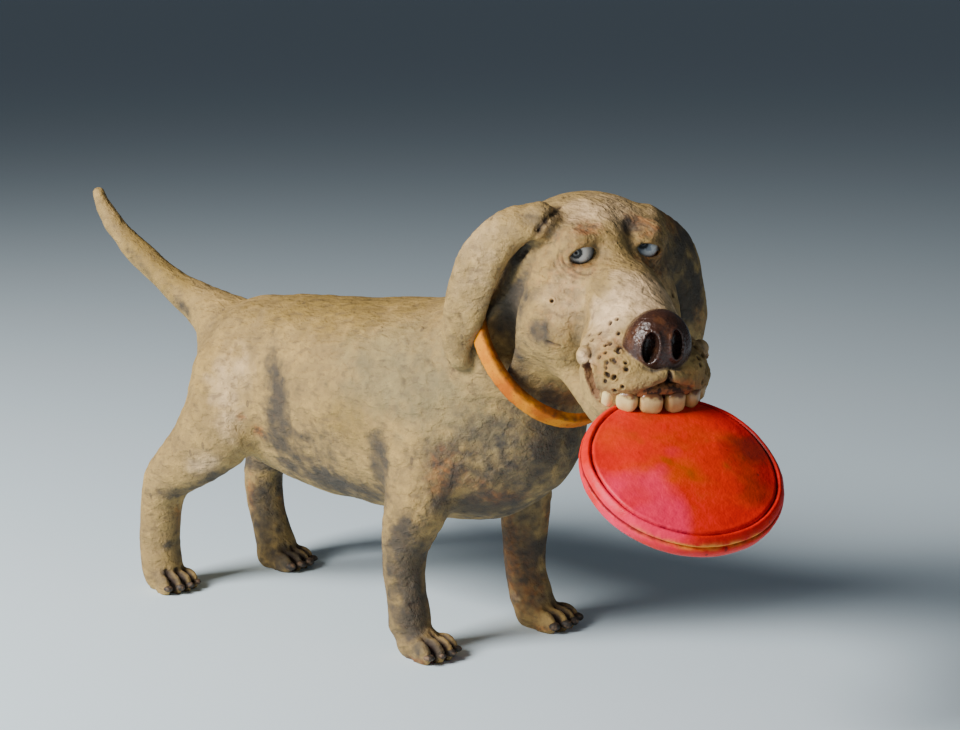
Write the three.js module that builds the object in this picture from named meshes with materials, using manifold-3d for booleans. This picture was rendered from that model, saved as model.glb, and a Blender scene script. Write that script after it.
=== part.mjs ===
// A hand-built ceramic dog that stands on its four feet, with its head turned to one side
// and a domed flying disc held in its teeth. Millimetres, +X to the chest, +Y to the dog's
// left, +Z up. The dog is worked out with its midline at y = 0 and its soles at z = 0.
import * as THREE from 'three';
import { edgeTable, triTable } from 'three/addons/objects/MarchingCubes.js';
import { mergeVertices } from 'three/addons/utils/BufferGeometryUtils.js';
import Module from 'manifold-3d';

const wasm = await Module();
wasm.setup();

const degrees = Math.PI / 180;

// The clay is worked on a grid of this step, and its skin is then thinned to this many facets.
// The facets are spent where the form is fine: on the face, and next on the paws.
const CLAY_STEP = 3;
const CLAY_LOW = [-276, -120, -12];
const CLAY_HIGH = [306, 96, 312];
const CLAY_FACETS = 5200;
const FACE_CARE = { reach: 95, weight: 5 };
const PAW_CARE = { height: 26, weight: 2.5 };
const GROUND = { length: 900, breadth: 600, depth: 50 }; // the block that cuts the soles flat
const FIT_GAP = 0.35; // between a set-in piece and the clay round it

// How widely one form is smeared into the next
const FILLET = {
  neck: 14, tail: 10, leg: 9, foot: 5, toe: 1.6, head: 9, cheek: 12, bridge: 10, jaw: 10, flew: 8,
  lipFold: 6, lip: 4, brow: 7, lobe: 2, lid: 4, nose: 1.5, ear: 5, cut: 1.5,
};

// The trunk, station by station from rump to chest
const TRUNK = [
  { x: -113, back: 199, belly: 122, halfWidth: 33 },
  { x: -92, back: 206, belly: 98, halfWidth: 44 },
  { x: -62, back: 208, belly: 85, halfWidth: 47 },
  { x: -25, back: 210, belly: 79, halfWidth: 51 },
  { x: 20, back: 213, belly: 77, halfWidth: 56 },
  { x: 65, back: 217, belly: 77, halfWidth: 57 },
  { x: 98, back: 212, belly: 82, halfWidth: 52 },
  { x: 120, back: 196, belly: 96, halfWidth: 42 },
];

// The neck rises from the chest to the back of the skull
const NECK = [
  { at: [92, 0, 165], wide: 48, deep: 50 },
  { at: [121, -1, 190], wide: 47, deep: 50 },
  { at: [150, -5, 213], wide: 46, deep: 46 },
  { at: [170, -8, 233], wide: 43, deep: 40 },
];

// The tail is one rising sweep, thick at the root and blunt at the tip
const TAIL = [
  { at: [-132, 0, 182], wide: 21, deep: 20 },
  { at: [-155, 0, 193], wide: 14, deep: 14 },
  { at: [-175, 0, 201], wide: 11, deep: 11 },
  { at: [-200, 0, 213.5], wide: 9.2, deep: 9.2 },
  { at: [-225, 0, 229], wide: 8.6, deep: 8.6 },
  { at: [-243, 0, 244], wide: 7.4, deep: 7.4 },
  { at: [-254, 0, 257], wide: 5.4, deep: 5.4 },
  { at: [-257, 0, 263], wide: 4.6, deep: 4.6 },
];

// Each leg runs from its joint with the trunk down to the ankle, and then a paw is set under it
const LEGS = {
  rightFore: {
    stations: [
      { at: [84, -34, 140], wide: 22, deep: 33 },
      { at: [80, -42, 112], wide: 18, deep: 26 },
      { at: [75, -46, 90], wide: 17, deep: 20 },
      { at: [68, -47, 66], wide: 14, deep: 14 },
      { at: [68, -47, 42], wide: 12.5, deep: 12.7 },
      { at: [71, -47, 20], wide: 13, deep: 13.5 },
    ],
    paw: { at: [84, -48], heading: -4, length: 39, width: 30, height: 18 },
  },
  leftFore: {
    stations: [
      { at: [88, 34, 140], wide: 22, deep: 33 },
      { at: [89, 42, 112], wide: 18, deep: 26 },
      { at: [90, 46, 86], wide: 17, deep: 19 },
      { at: [90, 47, 60], wide: 14.5, deep: 15 },
      { at: [91, 47, 36], wide: 13, deep: 13.7 },
      { at: [96, 47, 19], wide: 13.5, deep: 14.5 },
    ],
    paw: { at: [106, 48], heading: 2, length: 42, width: 32, height: 18 },
  },
  rightHind: {
    stations: [
      { at: [-94, -28, 150], wide: 26, deep: 36 },
      { at: [-97, -40, 124], wide: 20, deep: 31 },
      { at: [-117, -44, 101], wide: 17, deep: 23 },
      { at: [-142, -45, 82], wide: 15, deep: 17 },
      { at: [-152, -45, 60], wide: 13.5, deep: 14 },
      { at: [-155, -45, 34], wide: 13, deep: 14 },
      { at: [-154, -45, 16], wide: 13.5, deep: 14.5 },
    ],
    paw: { at: [-147, -45], heading: -6, length: 38, width: 30, height: 17 },
  },
  leftHind: {
    stations: [
      { at: [-94, 28, 150], wide: 26, deep: 36 },
      { at: [-102, 40, 122], wide: 20, deep: 30 },
      { at: [-121, 44, 97], wide: 17, deep: 21 },
      { at: [-140, 45, 74], wide: 14, deep: 16 },
      { at: [-142, 45, 52], wide: 13.5, deep: 14 },
      { at: [-137, 45, 30], wide: 13, deep: 13.5 },
      { at: [-131, 45, 15], wide: 13.5, deep: 14.5 },
    ],
    paw: { at: [-123, 44], heading: 4, length: 42, width: 31, height: 17 },
  },
};

// A paw is a pad with toes fanned across its front; the shares are of its length, width and height
const PAW = {
  pad: { back: 0.1, raised: 0.4, length: 0.38, width: 0.46, height: 0.62 },
  toe: { ahead: 0.25, curve: 0.6, spread: 0.92, raised: 0.3, length: 0.25, width: 0.56, height: 0.48 },
  toes: 4,
  fan: 30,
};

// The head turns to the dog's right and dips; this point lies midway between the eyes.
// Everything on the face is measured from there: forward, to the left and up.
const BROW = [206, -26, 261.7];
const HEAD_TURN = 34;
const HEAD_DIP = 12;

const SKULL = { at: [-34, 0, -19], radii: [48, 49, 40] };
const CHEEK = { at: [-14, 20, -46], radii: [37, 29, 30] };
const FLEW = { at: [56, 13, -43], radii: [34, 20, 15] };
const LIP_FOLD = { at: [57, 22, -59], radii: [25, 11, 17] };
const BROW_RIDGE = { at: [-2, 17, 9], radii: [11, 13, 7], turn: [0, 0, 12] };
const EYE = { radius: 9.5, lid: 2.6, left: [-3, 19.5, 0.5], right: [-3, -20, -1] };
const EYE_OPENING = { ahead: 11, radii: [11, 8.5, 4.8], tilt: 8 };
const NOSE = { at: [74, 0, -29], radii: [16, 18.7, 19] };
const NOSTRILS = [[87, -10.5, -23], [89, 3.8, -22]];
const NOSTRIL_RADII = [7, 3.8, 7];
const LIP_CORNER = { at: [53, 31, -44], radii: [6, 4.5, 5.5] };
const CORNER_SLOT = { at: [62, 34, -54], radii: [9, 6, 3], turn: [0, 38, 0] };

// Each ear hangs as a flap, flared from the head; the far one is set a little lower
const RIGHT_EAR = [
  { at: [-16, 34, 11], wide: 17, deep: 8 },
  { at: [-22, 48, 3], wide: 20.5, deep: 7.5 },
  { at: [-29, 62, -15], wide: 21.5, deep: 7 },
  { at: [-36, 69.5, -36], wide: 16.5, deep: 6.5 },
  { at: [-41, 73, -55], wide: 12.5, deep: 6.5 },
  { at: [-46, 74, -73], wide: 9.5, deep: 6.5 },
  { at: [-45, 71.5, -83], wide: 7.5, deep: 5.5 },
];
const LEFT_EAR = [
  { at: [-20, 31, 3], wide: 16, deep: 7.5 },
  { at: [-25, 44, -7], wide: 19, deep: 7 },
  { at: [-30, 57, -20], wide: 20, deep: 7 },
  { at: [-29, 65, -38], wide: 16.5, deep: 6.5 },
  { at: [-27, 69, -55], wide: 12.5, deep: 6.5 },
  { at: [-26, 68, -70], wide: 9.5, deep: 6.5 },
  { at: [-26, 66, -79], wide: 7.5, deep: 5.5 },
];
const EAR_SPREAD = [0.72, -0.69, 0]; // the flap's breadth runs forward and in

const BRIDGE = [
  { at: [-8, 0, -20], wide: 24, deep: 23 },
  { at: [30, 0, -26], wide: 23.5, deep: 24.5 },
  { at: [54, 0, -30], wide: 22, deep: 18.5 },
];
const LIP = [
  { at: [58, 29, -49], wide: 5, deep: 5 },
  { at: [76, 26.5, -51], wide: 5.5, deep: 5 },
  { at: [87, 14, -50.5], wide: 5.5, deep: 5 },
  { at: [89, 3, -46.5], wide: 5, deep: 5 },
];
const JAW = [
  { at: [-18, 0, -60], wide: 34, deep: 20 },
  { at: [16, 0, -74], wide: 27, deep: 13 },
  { at: [44, 0, -84], wide: 22, deep: 11 },
  { at: [68, 0, -86], wide: 18, deep: 9 },
  { at: [84, 0, -84], wide: 13, deep: 8 },
];

// The disc is lathed about its own axis and droops forward from the mouth
const DISC = {
  at: [122, 0, -84.5], dip: 21, radius: 55.5, faceRadius: 50, rimHalf: 7.3, topRise: 5.8, underRise: 10,
  grooveDepth: 1.6, sides: 36,
};

// The collar is an oval strap round the neck
const COLLAR = {
  at: [148, -5, 204], lean: 31, turn: 17, halfWidth: 50.5, halfHeight: 56.5, strap: 12, thick: 5, sides: 36,
};

// The upper teeth stand along an arch, each turned out to face away from its middle
const ARCH = { middle: 72, reach: 18, halfWidth: 27, level: -57 };
const TEETH = [
  { bearing: 78, width: 9.5, height: 12 },
  { bearing: 45, width: 12, height: 12 },
  { bearing: 15, width: 13, height: 13 },
  { bearing: -15, width: 12, height: 13 },
  { bearing: -44, width: 10.5, height: 12 },
  { bearing: -78, width: 9, height: 12 },
];
const TOOTH = { thick: 8, squareness: 0.72, rounds: [10, 6] };
const EYE_ROUNDS = [12, 8];

// Clay forms. Each is a signed distance, negative inside, with a ball that it lies within.
const FAR = 40; // past this from a form's ball, the distance to the ball is near enough

function withinBall(at, reach, exact) {
  const [cx, cy, cz] = at;
  return (x, y, z) => {
    const away = Math.hypot(x - cx, y - cy, z - cz) - reach;
    return away > FAR ? away : exact(x, y, z);
  };
}

function oval(u, v, w, a, b, c) {
  const k0 = Math.hypot(u / a, v / b, w / c);
  const k1 = Math.hypot(u / (a * a), v / (b * b), w / (c * c));
  return k1 < 1e-9 ? -Math.min(a, b, c) : (k0 * (k0 - 1)) / k1;
}

function blob(at, radii, turn = [0, 0, 0]) {
  const [cx, cy, cz] = at;
  const euler = new THREE.Euler(...turn.map((angle) => angle * degrees), 'ZYX');
  const e = new THREE.Matrix4().makeRotationFromEuler(euler).elements;
  return withinBall(at, Math.max(...radii), (x, y, z) => {
    const dx = x - cx;
    const dy = y - cy;
    const dz = z - cz;
    return oval(
      e[0] * dx + e[1] * dy + e[2] * dz,
      e[4] * dx + e[5] * dy + e[6] * dz,
      e[8] * dx + e[9] * dy + e[10] * dz,
      ...radii,
    );
  });
}

// A limb is a chain of oval sections along a smooth path through its stations
function limb(stations, side, stepsBetween = 2) {
  const path = new THREE.CatmullRomCurve3(stations.map((s) => new THREE.Vector3(...s.at)));
  const girth = new THREE.CatmullRomCurve3(
    stations.map((s) => new THREE.Vector3(s.wide, s.deep, 0)),
  );
  const count = (stations.length - 1) * stepsBetween;
  const points = path.getPoints(count);
  const girths = girth.getPoints(count);
  const sideways = new THREE.Vector3(...side);
  const links = [];
  for (let i = 0; i < count; i++) {
    const run = points[i + 1].clone().sub(points[i]);
    const along = run.clone().normalize();
    const across = sideways.clone().addScaledVector(along, -along.dot(sideways)).normalize();
    const third = new THREE.Vector3().crossVectors(along, across);
    links.push({
      p: points[i].toArray(), run: run.toArray(), length2: run.lengthSq(),
      w: along.toArray(), s: across.toArray(), n: third.toArray(),
      a: girths[i].x, b: girths[i].y, da: girths[i + 1].x - girths[i].x, db: girths[i + 1].y - girths[i].y,
    });
  }
  const ball = new THREE.Sphere().setFromPoints(points);
  const reach = ball.radius + Math.max(...girths.map((g) => Math.max(g.x, g.y)));
  return withinBall(ball.center.toArray(), reach, (x, y, z) => {
    let nearest = Infinity;
    for (const link of links) {
      const px = x - link.p[0];
      const py = y - link.p[1];
      const pz = z - link.p[2];
      const dot = px * link.run[0] + py * link.run[1] + pz * link.run[2];
      const t = Math.min(1, Math.max(0, dot / link.length2));
      const vx = px - link.run[0] * t;
      const vy = py - link.run[1] * t;
      const vz = pz - link.run[2] * t;
      const a = link.a + link.da * t;
      const b = link.b + link.db * t;
      const distance = oval(
        vx * link.s[0] + vy * link.s[1] + vz * link.s[2],
        vx * link.n[0] + vy * link.n[1] + vz * link.n[2],
        vx * link.w[0] + vy * link.w[1] + vz * link.w[2],
        a, b, Math.min(a, b),
      );
      nearest = Math.min(nearest, distance);
    }
    return nearest;
  });
}

// Two forms pressed together with a fillet, and one form pressed out of another
function press(a, b, fillet) {
  const h = Math.max(fillet - Math.abs(a - b), 0) / fillet;
  return Math.min(a, b) - (h * h * fillet) / 4;
}

function carve(a, b, fillet) {
  return -press(-a, b, fillet);
}

function paw({ at, heading, length, width, height }) {
  const [x, y] = at;
  const c = Math.cos(heading * degrees);
  const s = Math.sin(heading * degrees);
  const place = (forward, left, up) => [x + forward * c - left * s, y + forward * s + left * c, up];
  const pad = blob(
    place(-length * PAW.pad.back, 0, height * PAW.pad.raised),
    [length * PAW.pad.length, width * PAW.pad.width, height * PAW.pad.height],
    [0, 0, heading],
  );
  const toes = [];
  for (let i = 0; i < PAW.toes; i++) {
    const share = (i + 0.5) / PAW.toes - 0.5;
    const forward = length * (PAW.toe.ahead - PAW.toe.curve * share * share);
    toes.push(blob(
      place(forward, share * width * PAW.toe.spread, height * PAW.toe.raised),
      [length * PAW.toe.length, (width / PAW.toes) * PAW.toe.width, height * PAW.toe.height],
      [0, 0, heading + share * PAW.fan],
    ));
  }
  return (px, py, pz) => toes.reduce(
    (clay, toe) => press(clay, toe(px, py, pz), FILLET.toe), pad(px, py, pz),
  );
}

// The body of the dog, all but its head
function bodyForm() {
  const trunk = limb(TRUNK.map(({ x, back, belly, halfWidth }) => ({
    at: [x, 0, (back + belly) / 2], wide: halfWidth, deep: (back - belly) / 2,
  })), [0, 1, 0]);
  const neck = limb(NECK, [0, 1, 0]);
  const tail = limb(TAIL, [0, 1, 0]);
  const legs = Object.values(LEGS).map((leg) => ({
    shaft: limb(leg.stations, [0, 1, 0]),
    foot: paw(leg.paw),
  }));
  return (x, y, z) => {
    let clay = press(trunk(x, y, z), neck(x, y, z), FILLET.neck);
    clay = press(clay, tail(x, y, z), FILLET.tail);
    for (const leg of legs) {
      const whole = press(leg.shaft(x, y, z), leg.foot(x, y, z), FILLET.foot);
      clay = press(clay, whole, FILLET.leg);
    }
    return clay;
  };
}

// The head in its own frame. Paired features are worked once, on the side where left is positive.
function headForm() {
  const skull = blob(SKULL.at, SKULL.radii);
  const browRidge = blob(BROW_RIDGE.at, BROW_RIDGE.radii, BROW_RIDGE.turn);
  const cheek = blob(CHEEK.at, CHEEK.radii);
  const bridge = limb(BRIDGE, [0, 1, 0]);
  const flew = blob(FLEW.at, FLEW.radii);
  const lip = limb(LIP, [0, 0, 1]);
  const lipFold = blob(LIP_FOLD.at, LIP_FOLD.radii);
  const jaw = limb(JAW, [0, 1, 0]);
  const cornerLobe = blob(LIP_CORNER.at, LIP_CORNER.radii);
  const cornerSlot = blob(CORNER_SLOT.at, CORNER_SLOT.radii, CORNER_SLOT.turn);
  const eyes = [EYE.left, EYE.right].map((at) => ({
    lid: blob(at, [EYE.radius + EYE.lid, EYE.radius + EYE.lid + 1, EYE.radius + EYE.lid]),
    opening: blob(
      [at[0] + EYE_OPENING.ahead, at[1], at[2]],
      EYE_OPENING.radii,
      [Math.sign(at[1]) * EYE_OPENING.tilt, 0, 0],
    ),
  }));
  const nose = blob(NOSE.at, NOSE.radii);
  const nostrils = NOSTRILS.map((at) => blob(at, NOSTRIL_RADII));
  const ears = { right: limb(RIGHT_EAR, EAR_SPREAD), left: limb(LEFT_EAR, EAR_SPREAD) };
  return (forward, left, up) => {
    const side = Math.abs(left);
    let clay = press(skull(forward, side, up), cheek(forward, side, up), FILLET.cheek);
    clay = press(clay, bridge(forward, side, up), FILLET.bridge);
    clay = press(clay, jaw(forward, side, up), FILLET.jaw);
    clay = press(clay, flew(forward, side, up), FILLET.flew);
    clay = press(clay, lipFold(forward, side, up), FILLET.lipFold);
    clay = press(clay, lip(forward, side, up), FILLET.lip);
    clay = press(clay, browRidge(forward, side, up), FILLET.brow);
    clay = press(clay, cornerLobe(forward, side, up), FILLET.lobe);
    clay = carve(clay, cornerSlot(forward, side, up), FILLET.cut);
    for (const eye of eyes) {
      clay = press(clay, eye.lid(forward, left, up), FILLET.lid);
      clay = carve(clay, eye.opening(forward, left, up), FILLET.cut);
    }
    clay = press(clay, nose(forward, left, up), FILLET.nose);
    for (const nostril of nostrils) clay = carve(clay, nostril(forward, left, up), FILLET.cut);
    return press(clay, (left > 0 ? ears.left : ears.right)(forward, side, up), FILLET.ear);
  };
}

// The skin of a form: marching cubes over the blocks of the grid that it passes through
function skinOf(form, low, high, step) {
  const block = 8;
  const size = low.map((v, i) => Math.ceil((high[i] - v) / (step * block)) * block);
  const nx = size[0] + 1;
  const ny = size[1] + 1;
  const nz = size[2] + 1;
  const value = new Float32Array(nx * ny * nz).fill(NaN);
  const index = (i, j, k) => i + nx * (j + ny * k);
  const at = (i, j, k) => [low[0] + i * step, low[1] + j * step, low[2] + k * step];
  const sample = (i, j, k) => {
    const n = index(i, j, k);
    if (Number.isNaN(value[n])) value[n] = form(...at(i, j, k));
    return value[n];
  };
  const corners = [[0, 0, 0], [1, 0, 0], [1, 1, 0], [0, 1, 0], [0, 0, 1], [1, 0, 1], [1, 1, 1], [0, 1, 1]];
  const edges = [
    [0, 1], [1, 2], [2, 3], [3, 0], [4, 5], [5, 6], [6, 7], [7, 4], [0, 4], [1, 5], [2, 6], [3, 7],
  ];
  const points = [];
  const faces = [];
  const seen = new Map();
  const crossing = (i, j, k, edge) => {
    const [from, to] = edges[edge].map((c) => corners[c].map((d, axis) => d + [i, j, k][axis]));
    const ends = [index(...from), index(...to)].sort((m, n) => m - n);
    const key = ends[0] * 4096 + (ends[1] - ends[0] === 1 ? 0 : ends[1] - ends[0] === nx ? 1 : 2);
    if (!seen.has(key)) {
      const a = sample(...from);
      const b = sample(...to);
      const t = Math.min(0.95, Math.max(0.05, a / (a - b)));
      const p = at(...from);
      const q = at(...to);
      seen.set(key, points.length);
      points.push(p.map((v, axis) => v + (q[axis] - v) * t));
    }
    return seen.get(key);
  };
  const halfDiagonal = (step * block * Math.sqrt(3)) / 2;
  for (let bk = 0; bk < size[2]; bk += block) {
    for (let bj = 0; bj < size[1]; bj += block) {
      for (let bi = 0; bi < size[0]; bi += block) {
        const middle = form(...at(bi + block / 2, bj + block / 2, bk + block / 2));
        if (Math.abs(middle) > halfDiagonal * 1.6) continue;
        for (let k = bk; k < bk + block; k++) {
          for (let j = bj; j < bj + block; j++) {
            for (let i = bi; i < bi + block; i++) {
              let cube = 0;
              corners.forEach(([di, dj, dk], c) => {
                if (sample(i + di, j + dj, k + dk) < 0) cube |= 1 << c;
              });
              if (edgeTable[cube] === 0) continue;
              for (let t = cube * 16; triTable[t] !== -1; t += 3) {
                faces.push([0, 2, 1].map((v) => crossing(i, j, k, triTable[t + v])));
              }
            }
          }
        }
      }
    }
  }
  return { points, faces };
}

// Thins a closed skin by merging the edge whose loss changes the surface least, again and again
function thin({ points, faces }, wanted, weight) {
  const quadrics = points.map(() => new Float64Array(10));
  const ring = points.map(() => new Set());
  const version = new Uint32Array(points.length);
  const alive = new Uint8Array(faces.length).fill(1);
  const normalOf = (a, b, c) => {
    const u = b.map((v, i) => v - a[i]);
    const w = c.map((v, i) => v - a[i]);
    return [u[1] * w[2] - u[2] * w[1], u[2] * w[0] - u[0] * w[2], u[0] * w[1] - u[1] * w[0]];
  };
  faces.forEach((face, f) => {
    const [a, b, c] = face.map((v) => points[v]);
    const n = normalOf(a, b, c);
    const area = Math.hypot(...n);
    for (const v of face) ring[v].add(f);
    if (area < 1e-9) return;
    const [x, y, z] = n.map((v) => v / area);
    const d = -(x * a[0] + y * a[1] + z * a[2]);
    const w = area * weight(a);
    const q = [x * x, x * y, x * z, x * d, y * y, y * z, y * d, z * z, z * d, d * d];
    for (const v of face) q.forEach((term, i) => { quadrics[v][i] += term * w; });
  });
  const costAt = (q, [x, y, z]) => q[0] * x * x + 2 * q[1] * x * y + 2 * q[2] * x * z + 2 * q[3] * x
    + q[4] * y * y + 2 * q[5] * y * z + 2 * q[6] * y + q[7] * z * z + 2 * q[8] * z + q[9];
  const best = (a, b) => {
    const q = quadrics[a].map((term, i) => term + quadrics[b][i]);
    const middle = points[a].map((v, i) => (v + points[b][i]) / 2);
    const choices = [points[a], points[b], middle];
    const m = new THREE.Matrix3().set(q[0], q[1], q[2], q[1], q[4], q[5], q[2], q[5], q[7]);
    const scale = q[0] + q[4] + q[7];
    if (Math.abs(m.determinant()) > 1e-5 * scale * scale * scale) {
      const solved = new THREE.Vector3(-q[3], -q[6], -q[8]).applyMatrix3(m.invert()).toArray();
      const drift = Math.hypot(...solved.map((v, i) => v - middle[i]));
      if (drift < 2 * Math.hypot(...points[a].map((v, i) => v - points[b][i]))) choices.push(solved);
    }
    let place = choices[0];
    let cost = Infinity;
    for (const choice of choices) {
      const here = costAt(q, choice);
      if (here < cost) {
        cost = here;
        place = choice;
      }
    }
    const length = Math.hypot(...points[a].map((v, i) => v - points[b][i]));
    return { cost: cost + 1e-3 * length, place, a, b, stamp: version[a] + version[b] };
  };
  const heap = [];
  const push = (item) => {
    let i = heap.push(item) - 1;
    while (i > 0) {
      const up = (i - 1) >> 1;
      if (heap[up].cost <= item.cost) break;
      heap[i] = heap[up];
      i = up;
    }
    heap[i] = item;
  };
  const pop = () => {
    const top = heap[0];
    const last = heap.pop();
    if (heap.length === 0) return top;
    let i = 0;
    for (;;) {
      let down = 2 * i + 1;
      if (down >= heap.length) break;
      if (down + 1 < heap.length && heap[down + 1].cost < heap[down].cost) down += 1;
      if (heap[down].cost >= last.cost) break;
      heap[i] = heap[down];
      i = down;
    }
    heap[i] = last;
    return top;
  };
  const neighbours = (v) => {
    const set = new Set();
    for (const f of ring[v]) for (const u of faces[f]) if (u !== v) set.add(u);
    return set;
  };
  const turnsOver = (v, other, place) => {
    for (const f of ring[v]) {
      if (faces[f].includes(other)) continue;
      const before = normalOf(...faces[f].map((u) => points[u]));
      const after = normalOf(...faces[f].map((u) => (u === v ? place : points[u])));
      const la = Math.hypot(...after);
      const lb = Math.hypot(...before);
      const dot = before[0] * after[0] + before[1] * after[1] + before[2] * after[2];
      if (la < 0.05 || dot < 0.35 * la * lb) return true;
      const sides = faces[f].map((u, i, all) => {
        const p = u === v ? place : points[u];
        const w = all[(i + 1) % 3];
        const q = w === v ? place : points[w];
        return Math.hypot(p[0] - q[0], p[1] - q[1], p[2] - q[2]);
      });
      if (la / Math.max(...sides) ** 2 < 0.08) return true;
    }
    return false;
  };
  points.forEach((_, v) => {
    for (const u of neighbours(v)) if (u > v) push(best(v, u));
  });
  let count = faces.length;
  while (count > wanted && heap.length > 0) {
    const { a, b, place, stamp } = pop();
    if (ring[a].size === 0 || ring[b].size === 0 || stamp !== version[a] + version[b]) continue;
    const around = neighbours(a);
    if (!around.has(b)) continue;
    const shared = [...neighbours(b)].filter((u) => around.has(u));
    if (shared.length !== 2 || turnsOver(a, b, place) || turnsOver(b, a, place)) continue;
    points[a] = place;
    quadrics[b].forEach((term, i) => { quadrics[a][i] += term; });
    for (const f of ring[b]) {
      if (faces[f].includes(a)) {
        alive[f] = 0;
        count -= 1;
        for (const u of faces[f]) if (u !== b) ring[u].delete(f);
      } else {
        faces[f] = faces[f].map((u) => (u === b ? a : u));
        ring[a].add(f);
      }
    }
    ring[b].clear();
    version[b] += 1;
    const touched = neighbours(a);
    version[a] += 1;
    for (const u of touched) push(best(a, u));
  }
  const renumber = new Map();
  const kept = [];
  const keptFaces = faces.filter((_, f) => alive[f]).map((face) => face.map((v) => {
    if (!renumber.has(v)) renumber.set(v, kept.push(points[v]) - 1);
    return renumber.get(v);
  }));
  return { points: kept, faces: keptFaces };
}

function geometryOf({ points, faces }) {
  const geometry = new THREE.BufferGeometry();
  geometry.setAttribute('position', new THREE.Float32BufferAttribute(points.flat(), 3));
  geometry.setIndex(faces.flat());
  return geometry;
}

// Closed geometry to a solid that can be joined and cut, and back
function solidOf(geometry, matrix = new THREE.Matrix4()) {
  const bare = geometry.clone();
  bare.deleteAttribute('normal');
  bare.deleteAttribute('uv');
  const merged = mergeVertices(bare.applyMatrix4(matrix), 1e-4);
  return new wasm.Manifold(new wasm.Mesh({
    numProp: 3,
    vertProperties: new Float32Array(merged.getAttribute('position').array),
    triVerts: new Uint32Array(merged.getIndex().array),
  }));
}

function geometryFrom(solid) {
  const mesh = solid.getMesh();
  const geometry = new THREE.BufferGeometry();
  geometry.setAttribute('position', new THREE.BufferAttribute(mesh.vertProperties, 3));
  geometry.setIndex(new THREE.BufferAttribute(mesh.triVerts, 1));
  return geometry;
}

// The disc's outline, from the middle of its underside round the rim to the middle of its top
function discGeometry(grow = 0) {
  const { radius, faceRadius, rimHalf, topRise, underRise, grooveDepth, sides } = DISC;
  const dome = (rise, level, sign) => [0, 0.4, 0.7, 0.9].map((share) => [
    faceRadius * share, sign * (level + rise * (1 - share * share)),
  ]);
  const rim = [
    [faceRadius, -rimHalf], [radius - 1.4, -rimHalf * 0.78], [radius - 0.3, -rimHalf * 0.35],
    [radius - 0.4, rimHalf * 0.05], [radius - grooveDepth, rimHalf * 0.22], [radius - 0.6, rimHalf * 0.42],
    [radius - 1.8, rimHalf * 0.8], [faceRadius + 1.2, rimHalf * 0.95],
    [faceRadius, rimHalf - grooveDepth * 0.5], [faceRadius - 1.2, rimHalf * 1.04],
  ];
  const outline = [...dome(underRise, rimHalf, -1), ...rim, ...dome(topRise, rimHalf, 1).reverse()];
  const grown = outline.map(([r, z]) => {
    const away = Math.hypot(r / radius, z / (rimHalf + underRise)) || 1;
    return new THREE.Vector2(
      r === 0 ? 0 : r + (grow * r) / radius / away,
      z + (grow * z) / (rimHalf + underRise) / away + Math.sign(z) * grow * 0.6,
    );
  });
  return new THREE.LatheGeometry(grown, sides).rotateX(Math.PI / 2);
}

// The collar's strap, a rounded band closed on itself and then pressed to an oval
function collarGeometry(grow = 0) {
  const { halfWidth, halfHeight, strap, thick, sides } = COLLAR;
  const radius = (halfWidth + halfHeight) / 2;
  const inner = radius - thick / 2 - grow;
  const outer = radius + thick / 2 + grow;
  const edge = strap / 2 + grow;
  const soft = thick * 0.3;
  const section = [
    [inner, -edge], [outer - soft, -edge], [outer, -edge + soft], [outer, edge - soft],
    [outer - soft, edge], [inner, edge], [inner, -edge],
  ].map(([r, z]) => new THREE.Vector2(r, z));
  return new THREE.LatheGeometry(section, sides)
    .rotateX(Math.PI / 2)
    .scale(halfHeight / radius, halfWidth / radius, 1);
}

// A pebble: a ball squared towards a block, as pressed clay is
function pebbleGeometry(size, squareness, rounds, grow) {
  const geometry = new THREE.SphereGeometry(1, ...rounds);
  const position = geometry.getAttribute('position');
  const half = size.map((v) => v / 2 + grow);
  for (let i = 0; i < position.count; i++) {
    const place = [position.getX(i), position.getY(i), position.getZ(i)];
    const squared = place.map((v) => Math.sign(v) * Math.abs(v) ** squareness);
    position.setXYZ(i, ...squared.map((v, axis) => v * half[axis]));
  }
  return geometry;
}

const MATERIALS = {
  clay: new THREE.MeshStandardMaterial({ color: 0x8f7d66, roughness: 0.85, metalness: 0 }),
  collar: new THREE.MeshStandardMaterial({ color: 0xc77c1c, roughness: 0.75, metalness: 0 }),
  disc: new THREE.MeshStandardMaterial({ color: 0xc22a2c, roughness: 0.45, metalness: 0 }),
  eye: new THREE.MeshStandardMaterial({ color: 0xdfe3e8, roughness: 0.2, metalness: 0 }),
  tooth: new THREE.MeshStandardMaterial({ color: 0xe6d8b4, roughness: 0.4, metalness: 0 }),
};

const figure = new THREE.Group();
const face = new THREE.Group();
face.position.set(...BROW);
face.rotation.set(0, HEAD_DIP * degrees, -HEAD_TURN * degrees, 'ZYX');
figure.add(face);

// Each set-in piece is a mesh, cut back where an earlier one already lies, and it leaves a seat:
// its own shape, slightly larger, which the pieces after it are cut with
const seats = [];

function addSetIn(parent, name, material, shape, place) {
  const mesh = new THREE.Mesh(shape(0), material);
  mesh.name = name;
  place(mesh);
  parent.add(mesh);
  mesh.updateWorldMatrix(true, false);
  const inFigure = mesh.matrixWorld;
  let solid = solidOf(mesh.geometry, inFigure);
  for (const earlier of seats) solid = solid.subtract(earlier);
  mesh.geometry = geometryFrom(solid).applyMatrix4(inFigure.clone().invert());
  seats.push(solidOf(shape(FIT_GAP), inFigure));
}

addSetIn(face, 'disc', MATERIALS.disc, discGeometry, (mesh) => {
  mesh.position.set(...DISC.at);
  mesh.rotation.y = DISC.dip * degrees;
});

addSetIn(figure, 'collar', MATERIALS.collar, collarGeometry, (mesh) => {
  mesh.position.set(...COLLAR.at);
  mesh.rotation.set(0, (90 - COLLAR.lean) * degrees, -COLLAR.turn * degrees, 'ZYX');
});

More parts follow.
